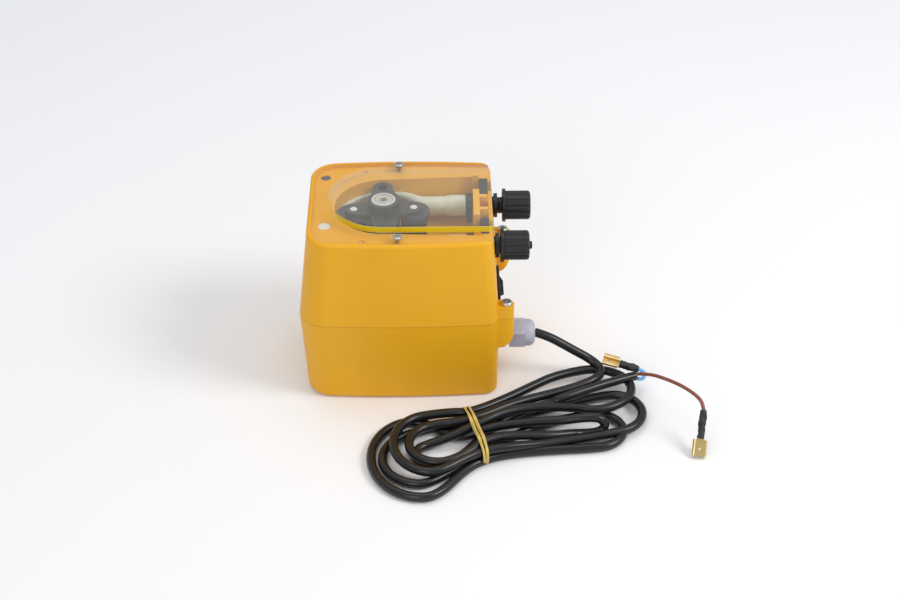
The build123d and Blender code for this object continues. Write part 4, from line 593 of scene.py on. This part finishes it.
def hank_points():
    """The folded part of the lead, from the gland's side to the cut end."""
    route = [(79, 29.6, 11.2), (64, 28.2, 10.6), (48, 26.7, 10.6), (28, 23.3, 11.2)]
    route += [(12, 17.8, 11.8), (0, 15.4, 11.8), (-10, 16.6, 10.4)]
    route += end_loop(LEFT_FOURTH)
    route += [(-8, -13.5, 9.8), (2, -9, 12.2), (14, -7.2, 12), (30, -8.5, 10.4), (48, -11.3, 8)]
    route += [(62, -10, 5.5), (68, -9.2, 3.5), (77.5, -10.8, 3.3), (84, -11.2, 4.6)]
    route += [(86, -10.4, 8.8), (83, -8.6, 13.2), (76, -6.4, 13.8), (66, -3.6, 12.4)]
    route += [(60, -1.5, 10.8), (36, 3.5, 10.3), (14, 5.2, 10.6), (2, 4.6, 9.4), (-8, 7, 4.2)]
    route += [(-19, 15.5, 3.2), (-27, 28.5, 3.2)]
    route += end_loop(LEFT_FIRST)
    route += [(-14, -22.5, 3.2), (0, -17, 3.2), (16, -15.8, 3.2), (42, -19, 3.2)]
    route += end_loop(RIGHT_THIRD)
    route += [(54, 8, 3.2), (25, 1, 3.2), (0, -9.5, 3.2), (-20, -20.5, 3.2)]
    route += end_loop(LEFT_SECOND)
    route += [(-20, 23.6, 3.4), (-10, 21.5, 3.3), (2, 19, 3.2), (18, 17.6, 3.2), (48, 21, 3.4)]
    route += [(72, 23, 3.8)]
    route += end_loop(RIGHT_SECOND)
    route += [(68, -16.3, 5.2), (40, -15.5, 6), (18, -15.8, 9.2), (4, -15.6, 9.8)]
    route += [(-10, -17.6, 9.2)]
    route += end_loop(LEFT_THIRD)
    route += [(-8, 28, 9.2), (0, 24.8, 9.6), (14, 27.3, 9.6), (34, 34, 9.4), (54, 42, 9.2)]
    route += [(68, 47, 9.2)]
    route += end_loop(RIGHT_FIRST)
    route += [(74, 9.2, 9.8), (58, 12.8, 11.6), (40, 15.4, 12.9), (22, 14.4, 13.4)]
    route += [(8, 10.4, 12.8), (-6, 7.2, 10.6), (-18, 5.2, 8)]
    route += end_loop(LEFT_INNER)
    route += [(-18, -12.5, 3.3), (-6, -4.5, 3.4), (6, 6.2, 3.5), (17, 12.6, 5), (30, 17, 7.4)]
    route += [(44, 18.8, 8.4), (58, 19.2, 9.6)]
    return [on_hank(*point) for point in route]


def cord_curve(name, points, diameter, slot):
    """A smooth cord whose control points are the given route, in millimetres."""
    curve = bpy.data.curves.new(name, "CURVE")
    curve.dimensions = "3D"
    curve.bevel_depth = diameter / 2
    curve.bevel_resolution = 6
    curve.resolution_u = 10
    curve.use_fill_caps = True
    line = curve.splines.new("NURBS")
    line.points.add(len(points) - 1)
    for knot, point in zip(line.points, points):
        knot.co = (*metres(point), 1)
    line.order_u = 3
    line.use_endpoint_u = True
    piece = bpy.data.objects.new(name, curve)
    return place(piece, slot)


def place(piece, slot):
    """Puts a piece on the housing with the finish of its slot."""
    bpy.context.scene.collection.objects.link(piece)
    piece.data.materials.append(finish_of(slot))
    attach(piece, "housing")
    return piece


def solid(name, work, slot):
    """Turns a bmesh into a placed piece."""
    bmesh.ops.recalc_face_normals(work, faces=work.faces)
    mesh = bpy.data.meshes.new(name)
    work.to_mesh(mesh)
    work.free()
    for face in mesh.polygons:
        face.use_smooth = True
    return place(bpy.data.objects.new(name, mesh), slot)


def skin(work, rings, closed_ring=True, closed_run=False):
    """Faces between rings of points of equal count, with caps on a run of closed rings."""
    made = [[work.verts.new(metres(point)) for point in ring] for ring in rings]
    runs = list(zip(made, made[1:])) + ([(made[-1], made[0])] if closed_run else [])
    for one, other in runs:
        count = len(one)
        for i in range(count if closed_ring else count - 1):
            j = (i + 1) % count
            work.faces.new((one[i], one[j], other[j], other[i]))
    if closed_ring and not closed_run:
        work.faces.new(list(reversed(made[0])))
        work.faces.new(made[-1])


def toward(start, end, face):
    """Axes at end: along the way from start, across, and out of the face."""
    start, end = Vector(start), Vector(end)
    along = (end - start).normalized()
    face = Vector(face)
    out = (face - along * face.dot(along)).normalized()
    return end, along, out.cross(along), out


# ---- Pieces -------------------------------------------------------------------------------------
class PUMP_OT_finishes(bpy.types.Operator):
    """Mix every finish of the pump"""

    bl_idname = "pump.finishes"
    bl_label = "Mix finishes"

    def execute(self, context):
        make_finishes()
        return {"FINISHED"}


class PUMP_OT_housing(bpy.types.Operator):
    """Dress both shells, the clear cover and their screws"""

    bl_idname = "pump.housing"
    bl_label = "Housing"

    def execute(self, context):
        dress("housing_yellow", "rear_shell", "front_shell")
        dress("clear_plastic", "clear_cover")
        dress("steel", "cover_screws", "shell_screws")
        dress("dark_steel", "deck_screw")
        # The deck plug's cream colour is a painted highlight: it stands in for light glinting on the
        # head of a screw.
        dress("cream_plastic", "deck_plug")
        return {"FINISHED"}


class PUMP_OT_pump_head(bpy.types.Operator):
    """Dress the rotor, its rollers and bearing, and the squeezed hose"""

    bl_idname = "pump.pump_head"
    bl_label = "Pump head"

    def execute(self, context):
        dress("dark_plastic", "rotor_frame")
        dress("black_plastic", "left_roller", "right_roller")
        dress("cream_plastic", "roller_pins")
        dress("bearing_steel", "bearing_outer_ring", "bearing_inner_ring", "bearing_balls")
        dress("dark_steel", "rotor_grub_screw")
        dress("hose_rubber", "pump_hose")
        dress("black_plastic", "hose_clamps")
        return {"FINISHED"}


class PUMP_OT_hose_fittings(bpy.types.Operator):
    """Dress the two hose nipples, their pinch rings and union nuts"""

    bl_idname = "pump.hose_fittings"
    bl_label = "Hose fittings"

    def execute(self, context):
        for end in ("suction", "discharge"):
            dress("black_plastic", f"{end}_connector", f"{end}_nut", f"{end}_pinch_ring")
        return {"FINISHED"}


def connector_thread(name, y):
    """The coarse ridge of a hose connector's thread."""
    last = THREAD_TURNS * THREAD_STEPS
    rings = []
    for i in range(last + 1):
        a = 2 * math.pi * i / THREAD_STEPS
        x = THREAD_START + THREAD_PITCH * i / THREAD_STEPS
        fade = min(1, i / THREAD_FADE, (last - i) / THREAD_FADE)
        ring = []
        for shift, rise in THREAD_RIDGE:
            r = THREAD_CORE + (rise * fade if rise > 0 else rise)
            ring.append((x + shift, y / MM + r * math.cos(a), THREAD_Z / MM + r * math.sin(a)))
        rings.append(ring)
    work = bmesh.new()
    skin(work, rings)
    return solid(name, work, "black_plastic")


class PUMP_OT_threads(bpy.types.Operator):
    """Cut the threads of the two hose connectors"""

    bl_idname = "pump.threads"
    bl_label = "Connector threads"

    def execute(self, context):
        connector_thread("suction_thread", -THREAD_Y)
        connector_thread("discharge_thread", THREAD_Y)
        return {"FINISHED"}


class PUMP_OT_drive(bpy.types.Operator):
    """Dress the motor and the gear train behind the chamber"""

    bl_idname = "pump.drive"
    bl_label = "Motor and gears"

    def execute(self, context):
        dress("steel", "output_shaft", "idler_pin", "case_screws", "motor_can", "motor_screws")
        dress("steel", "motor_stator", "motor_shaft")
        dress("gear_plastic", "output_gear", "idler_gear")
        dress("brass", "motor_pinion", "output_bush")
        dress("black_plastic", "gear_case")
        dress("grey_casting", "motor_plate")
        dress("copper", "motor_coil")
        dress("dark_steel", "motor_magnet")
        return {"FINISHED"}


class PUMP_OT_switch_and_gland(bpy.types.Operator):
    """Dress the rocker switch, the cable gland and the wiring inside"""

    bl_idname = "pump.switch_and_gland"
    bl_label = "Switch and gland"

    def execute(self, context):
        dress("gland_grey", "gland_body", "gland_locknut", "gland_cap")
        dress("seal_rubber", "gland_seal")
        dress("black_plastic", "switch_body", "switch_rocker")
        dress("cream_plastic", "terminal_block")
        dress("steel", "terminal_screws")
        dress("cable_black", "cable_inside")
        dress("wire_brown", "cable_cores")
        return {"FINISHED"}


class PUMP_OT_loose_wires(bpy.types.Operator):
    """Lay the brown and the blue wire that come out of the cut lead"""

    bl_idname = "pump.loose_wires"
    bl_label = "Loose wires"

    def execute(self, context):
        brown = cord_curve("brown_lead", BROWN_POINTS, sizes().core, "wire_brown")
        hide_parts("brown_wire")
        blue = cord_curve("blue_lead", BLUE_POINTS, sizes().core, "wire_blue")
        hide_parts("blue_wire")
        return {"FINISHED"}


def along_profile(profile, place):
    """The value of a profile at a place, on straight lines between its points."""
    low = max(point for point in profile if point[0] <= place + 1e-6)
    high = min((point for point in profile if point[0] > place + 1e-6), default=low)
    blend = 0 if high == low else (place - low[0]) / (high[0] - low[0])
    return low[1] + (high[1] - low[1]) * blend


def shrunk_sleeve(name, start, end, seed):
    """A heat-shrunk sleeve: wavy, drawn in at both ends and over the terminal's neck."""
    start, end = Vector(start), Vector(end)
    way = end - start
    reach = 1 + SLEEVE_RUN_IN + SLEEVE_PAST_CRIMP / way.length
    along = way.normalized()
    across = along.cross(Vector((0.3, 0.2, 1))).normalized()
    up = along.cross(across)
    rings = []
    for i in range(SLEEVE_STEPS + 1):
        f = -SLEEVE_RUN_IN + reach * i / SLEEVE_STEPS
        radius = along_profile(SLEEVE_PROFILE, f)
        ring = []
        for k in range(SLEEVE_SIDES):
            a = 2 * math.pi * k / SLEEVE_SIDES
            wave = 0.16 * math.sin(3 * a + 9 * f + seed) + 0.12 * math.sin(22 * f + 2 * a + seed)
            wave += 0.07 * math.sin(5 * a - 31 * f)
            flat = 1 - 0.14 * f * math.cos(2 * a)
            r = (radius + wave * min(1, 6 * abs(f) + 0.2)) * flat
            ring.append(tuple(start + way * f + (across * math.cos(a) + up * math.sin(a)) * r))
        rings.append(ring)
    work = bmesh.new()
    skin(work, rings)
    return solid(name, work, "sleeve_black")


def curled_edge(side):
    """One rolled edge of a terminal's plate, out from the flat, across and up."""
    edge = []
    for k in range(CURL_STEPS):
        a = math.radians(-90 + CURL_STEP * k)
        across = side * (PLATE_HALF - CURL + CURL * math.cos(a))
        edge.append((across, CURL + CURL * math.sin(a) - PLATE_DROP))
    return edge


def spade_terminal(name, start, end, face):
    """A push-on terminal: a trough of a neck and a plate with a hole, whose edges curl over."""
    origin, along, across, out = toward(start, end, face)

    def spot(x, y, z):
        return tuple(origin + along * x + across * y + out * z)

    work = bmesh.new()
    flat = [(-PLATE_FLAT / 2 + PLATE_FLAT * k / 10, -PLATE_DROP) for k in range(1, 10)]
    section = curled_edge(-1)[::-1] + flat + curled_edge(1)
    rings = []
    for x in PLATE_STATIONS:
        flare = 0.25 * max(0, (x - FLARE_START) / 1.2) ** 2
        rings.append([
            spot(x, y * (1 + 0.012 * flare), z + flare * abs(y) / PLATE_HALF * 0.3)
            for y, z in section
        ])
    skin(work, rings, closed_ring=False)
    hole = Vector(spot(HOLE_AT, 0, -PLATE_DROP))
    cut = [f for f in work.faces if (f.calc_center_median() / MM - hole).length < HOLE_R]
    bmesh.ops.delete(work, geom=cut, context="FACES")
    rings = [
        [spot(x, wide * k / 4, -PLATE_DROP + lift * (k / 4) ** 2) for k in range(-4, 5)]
        for x, wide, lift in NECK
    ]
    skin(work, rings, closed_ring=False)
    bmesh.ops.remove_doubles(work, verts=work.verts, dist=0.02 * MM)
    piece = solid(name, work, "brass")
    thick = piece.modifiers.new("sheet", "SOLIDIFY")
    thick.thickness = SHEET_THICKNESS * MM
    thick.offset = 0
    edge = piece.modifiers.new("rounded_edges", "BEVEL")
    edge.width = SHEET_ROUNDING * MM
    edge.segments = 2
    edge.limit_method = "ANGLE"
    return piece


class PUMP_OT_sleeves(bpy.types.Operator):
    """Shrink the two sleeves onto the wires and the terminals' crimps"""

    bl_idname = "pump.sleeves"
    bl_label = "Shrink sleeves"

    def execute(self, context):
        brown = shrunk_sleeve("brown_sleeve", BROWN_POINTS[-1], BROWN_SLEEVE_END, 0.4)
        blue = shrunk_sleeve("blue_sleeve", BLUE_POINTS[-1], BLUE_SLEEVE_END, 2.1)
        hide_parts("shrink_sleeves")
        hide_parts("shrink_sleeves")
        return {"FINISHED"}


class PUMP_OT_terminals(bpy.types.Operator):
    """Stamp the two brass spade terminals"""

    bl_idname = "pump.terminals"
    bl_label = "Spade terminals"

    def execute(self, context):
        brown = spade_terminal("brown_terminal", BROWN_POINTS[-1], BROWN_SLEEVE_END, BROWN_FACE)
        blue = spade_terminal("blue_terminal", BLUE_POINTS[-1], BLUE_SLEEVE_END, BLUE_FACE)
        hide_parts("spade_terminals")
        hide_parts("spade_terminals")
        return {"FINISHED"}


def band_line():
    """Points at equal steps on a smooth closed line through the band's path."""
    lap = BAND_PATH + BAND_PATH[:1]
    spans = [math.dist(one, other) for one, other in zip(lap, lap[1:])]
    line = []
    for i in range(BAND_STEPS):
        rest, k = sum(spans) * i / BAND_STEPS, 0
        while rest > spans[k]:
            rest -= spans[k]
            k += 1
        f = rest / spans[k]
        near = (BAND_PATH[(k + step) % len(BAND_PATH)] for step in (-1, 0, 1, 2))
        line.append([
            0.5 * (
                2 * b + (c - a) * f + (2 * a - 5 * b + 4 * c - d) * f * f
                + (3 * b - a - 3 * c + d) * f ** 3
            )
            for a, b, c, d in zip(*near)
        ])
    return line


def band_strand(work, shift, wander):
    """One strand of the band round the hank, shifted along it and wandering to both sides."""
    width = sizes().band / MM
    line = band_line()
    rings = []
    for i, (v, z) in enumerate(line):
        ahead, behind = line[(i + 1) % BAND_STEPS], line[i - 1]
        dv, dz = ahead[0] - behind[0], ahead[1] - behind[1]
        size = math.hypot(dv, dz)
        nv, nz = dz / size, -dv / size
        if nv * (v - BAND_MIDDLE[0]) + nz * (z - BAND_MIDDLE[1]) < 0:
            nv, nz = -nv, -nz
        a = 2 * math.pi * i / BAND_STEPS
        u = shift + wander * math.sin(a + 0.9) + 0.5 * wander * math.sin(2 * a)
        twist = 0.5 * math.sin(3 * a)
        ring = []
        for k in range(BAND_SIDES):
            b = 2 * math.pi * k / BAND_SIDES
            x, y = width / 2 * math.cos(b), BAND_HALF_THICK * math.sin(b)
            along = x * math.cos(twist) - y * math.sin(twist)
            out = x * math.sin(twist) + y * math.cos(twist)
            ring.append(on_hank(u + along, v + nv * out, max(BAND_LOWEST, z + nz * out)))
        rings.append(ring)
    skin(work, rings, closed_run=True)


class PUMP_OT_rubber_band(bpy.types.Operator):
    """Stretch the rubber band round the waist of the hank"""

    bl_idname = "pump.rubber_band"
    bl_label = "Rubber band"

    def execute(self, context):
        work = bmesh.new()
        band_strand(work, -1.25, 0.45)
        band_strand(work, 1.15, -0.55)
        piece = solid("hank_band", work, "band_yellow")
        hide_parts("rubber_band")
        return {"FINISHED"}


class PUMP_OT_mains_lead(bpy.types.Operator):
    """Lay the mains lead from the gland into its hank, up to the cut end"""

    bl_idname = "pump.mains_lead"
    bl_label = "Mains lead"

    def execute(self, context):
        route = LEAD_POINTS + hank_points() + TAIL_POINTS
        lead = cord_curve("mains_lead", route, sizes().cable, "cable_black")
        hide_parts("cable_lead", "cable_hank", "cable_tail")
        return {"FINISHED"}


# ---- Stage --------------------------------------------------------------------------------------
FLOOR_Z = -0.05  # millimetres
FLOOR_STEPS = 24
WORLD_LEVEL = 0.55
# Each lamp: its place, what it points at, its size across, its power and its tint.
LAMPS = {
    "key_lamp": ((1.25, -0.45, 1.30), (0.05, -0.05, 0.05), 0.75, 13.0, (1.0, 0.985, 0.96)),
    "top_lamp": ((-0.10, 0.35, 1.60), (0.03, -0.05, 0.05), 1.2, 5.0, (0.97, 0.985, 1.0)),
    "front_lamp": ((-0.55, -1.55, 1.00), (0.03, -0.05, 0.06), 0.9, 6.0, (1, 1, 1)),
}
CAMERA_PLACE = (0.02724, -1.05950, 0.82306)
CAMERA_RISE = math.radians(36.262)
CAMERA_TURN = math.radians(-0.388)
CAMERA_ROLL = math.radians(-0.289)
CAMERA_LENS = 75.56


def soft_lamp(name, spot, target, size, power, tint):
    light = bpy.data.lights.new(name, "AREA")
    light.shape = "DISK"
    light.size = size
    light.energy = power
    light.color = tint
    lamp = bpy.data.objects.new(name, light)
    lamp.location = spot
    lamp.rotation_euler = (Vector(spot) - Vector(target)).to_track_quat("Z", "Y").to_euler()
    bpy.context.scene.collection.objects.link(lamp)


def pale_floor():
    """A sheet that the camera sees a little paler than the light that it throws back."""
    half = sizes().floor / 2 / MM
    ticks = [half * (2 * i / FLOOR_STEPS - 1) for i in range(FLOOR_STEPS + 1)]
    work = bmesh.new()
    skin(work, [[(x, y, FLOOR_Z) for x in ticks] for y in ticks], closed_ring=False)
    for face in work.faces:
        face.normal_update()
        if face.normal.z < 0:
            face.normal_flip()
    mesh = bpy.data.meshes.new("studio_floor")
    work.to_mesh(mesh)
    work.free()
    finish = Finish("floor_paper", Roughness=0.9, Specular_IOR_Level=0.1)
    rays = finish.node("ShaderNodeLightPath").outputs
    seen = finish.value(rays["Is Camera Ray"])
    seen = seen.largest(finish.value(rays["Is Glossy Ray"]))
    seen = seen.largest(finish.value(rays["Is Transmission Ray"]))
    cloud = finish.noise(3, 2).above(0.5, 0.8)
    paper = finish.mix(cloud, (0.93, 0.935, 0.95), (0.95, 0.955, 0.97))
    base = finish.mix(seen, (0.84, 0.84, 0.85), paper)
    finish.feed(finish.shader, **{"Base Color": base})
    mesh.materials.append(finish.material)
    floor = bpy.data.objects.new("studio_floor", mesh)
    bpy.context.scene.collection.objects.link(floor)
    return floor


def studio_world():
    """A soft sky, and a brighter one behind the floor for the camera alone."""
    world = bpy.data.worlds.new("studio")
    world.use_nodes = True
    tree = world.node_tree
    background = tree.nodes["Background"]
    background.inputs["Strength"].default_value = WORLD_LEVEL
    background.inputs["Color"].default_value = (0.97, 0.98, 1.0, 1)
    bright = tree.nodes.new("ShaderNodeBackground")
    bright.inputs["Color"].default_value = (0.93, 0.94, 0.96, 1)
    bright.inputs["Strength"].default_value = 1.0
    paths = tree.nodes.new("ShaderNodeLightPath")
    mixed = tree.nodes.new("ShaderNodeMixShader")
    tree.links.new(paths.outputs["Is Camera Ray"], mixed.inputs[0])
    tree.links.new(background.outputs[0], mixed.inputs[1])
    tree.links.new(bright.outputs[0], mixed.inputs[2])
    tree.links.new(mixed.outputs[0], tree.nodes["World Output"].inputs["Surface"])
    return world


def studio_camera():
    lens = bpy.data.cameras.new("camera")
    lens.sensor_width = 36.0
    lens.lens = CAMERA_LENS
    lens.clip_start = 0.01
    lens.clip_end = 60.0
    right = Vector((math.cos(CAMERA_TURN), math.sin(CAMERA_TURN), 0))
    forward = Vector((
        -math.sin(CAMERA_TURN) * math.cos(CAMERA_RISE),
        math.cos(CAMERA_TURN) * math.cos(CAMERA_RISE),
        -math.sin(CAMERA_RISE),
    ))
    up = right.cross(forward)
    side = right * math.cos(CAMERA_ROLL) + up * math.sin(CAMERA_ROLL)
    top = up * math.cos(CAMERA_ROLL) - right * math.sin(CAMERA_ROLL)
    seat = Matrix((side, top, -forward)).transposed().to_4x4()
    seat.translation = Vector(CAMERA_PLACE)
    camera = bpy.data.objects.new("camera", lens)
    camera.matrix_world = seat
    bpy.context.scene.collection.objects.link(camera)
    return camera


class PUMP_OT_stage(bpy.types.Operator):
    """Set the pale floor, the soft lamps and the camera"""

    bl_idname = "pump.stage"
    bl_label = "Stage"

    def execute(self, context):
        pale_floor()
        context.scene.world = studio_world()
        for name, settings in LAMPS.items():
            soft_lamp(name, *settings)
        context.scene.camera = studio_camera()
        context.scene.view_settings.view_transform = "Standard"
        return {"FINISHED"}


# ---- Panel --------------------------------------------------------------------------------------
PIECES = (
    PUMP_OT_finishes,
    PUMP_OT_housing,
    PUMP_OT_pump_head,
    PUMP_OT_hose_fittings,
    PUMP_OT_threads,
    PUMP_OT_drive,
    PUMP_OT_switch_and_gland,
    PUMP_OT_loose_wires,
    PUMP_OT_sleeves,
    PUMP_OT_terminals,
    PUMP_OT_rubber_band,
    PUMP_OT_mains_lead,
    PUMP_OT_stage,
)


class PUMP_PT_panel(bpy.types.Panel):
    """Sidebar panel with the pump's settings and pieces"""

    bl_idname = "PUMP_PT_panel"
    bl_label = "Dosing pump"
    bl_space_type = "VIEW_3D"
    bl_region_type = "UI"
    bl_category = "Dosing Pump"

    def draw(self, context):
        for group in (context.scene.pump_colours, context.scene.pump_sizes):
            box = self.layout.box()
            for name in group.__annotations__:
                box.prop(group, name)
        for piece in PIECES:
            self.layout.operator(piece.bl_idname)


CLASSES = (PumpColours, PumpSizes, *PIECES, PUMP_PT_panel)


def register():
    for kind in CLASSES:
        bpy.utils.register_class(kind)
    bpy.types.Scene.pump_colours = PointerProperty(type=PumpColours)
    bpy.types.Scene.pump_sizes = PointerProperty(type=PumpSizes)


def unregister():
    del bpy.types.Scene.pump_sizes
    del bpy.types.Scene.pump_colours
    for kind in reversed(CLASSES):
        bpy.utils.unregister_class(kind)


def main():
    register()
    bpy.ops.pump.finishes()
    bpy.ops.pump.housing()
    bpy.ops.pump.pump_head()
    bpy.ops.pump.hose_fittings()
    bpy.ops.pump.threads()
    bpy.ops.pump.drive()
    bpy.ops.pump.switch_and_gland()
    bpy.ops.pump.loose_wires()
    bpy.ops.pump.sleeves()
    bpy.ops.pump.terminals()
    bpy.ops.pump.rubber_band()
    bpy.ops.pump.mains_lead()
    bpy.ops.pump.stage()


if __name__ == "__main__":
    main()
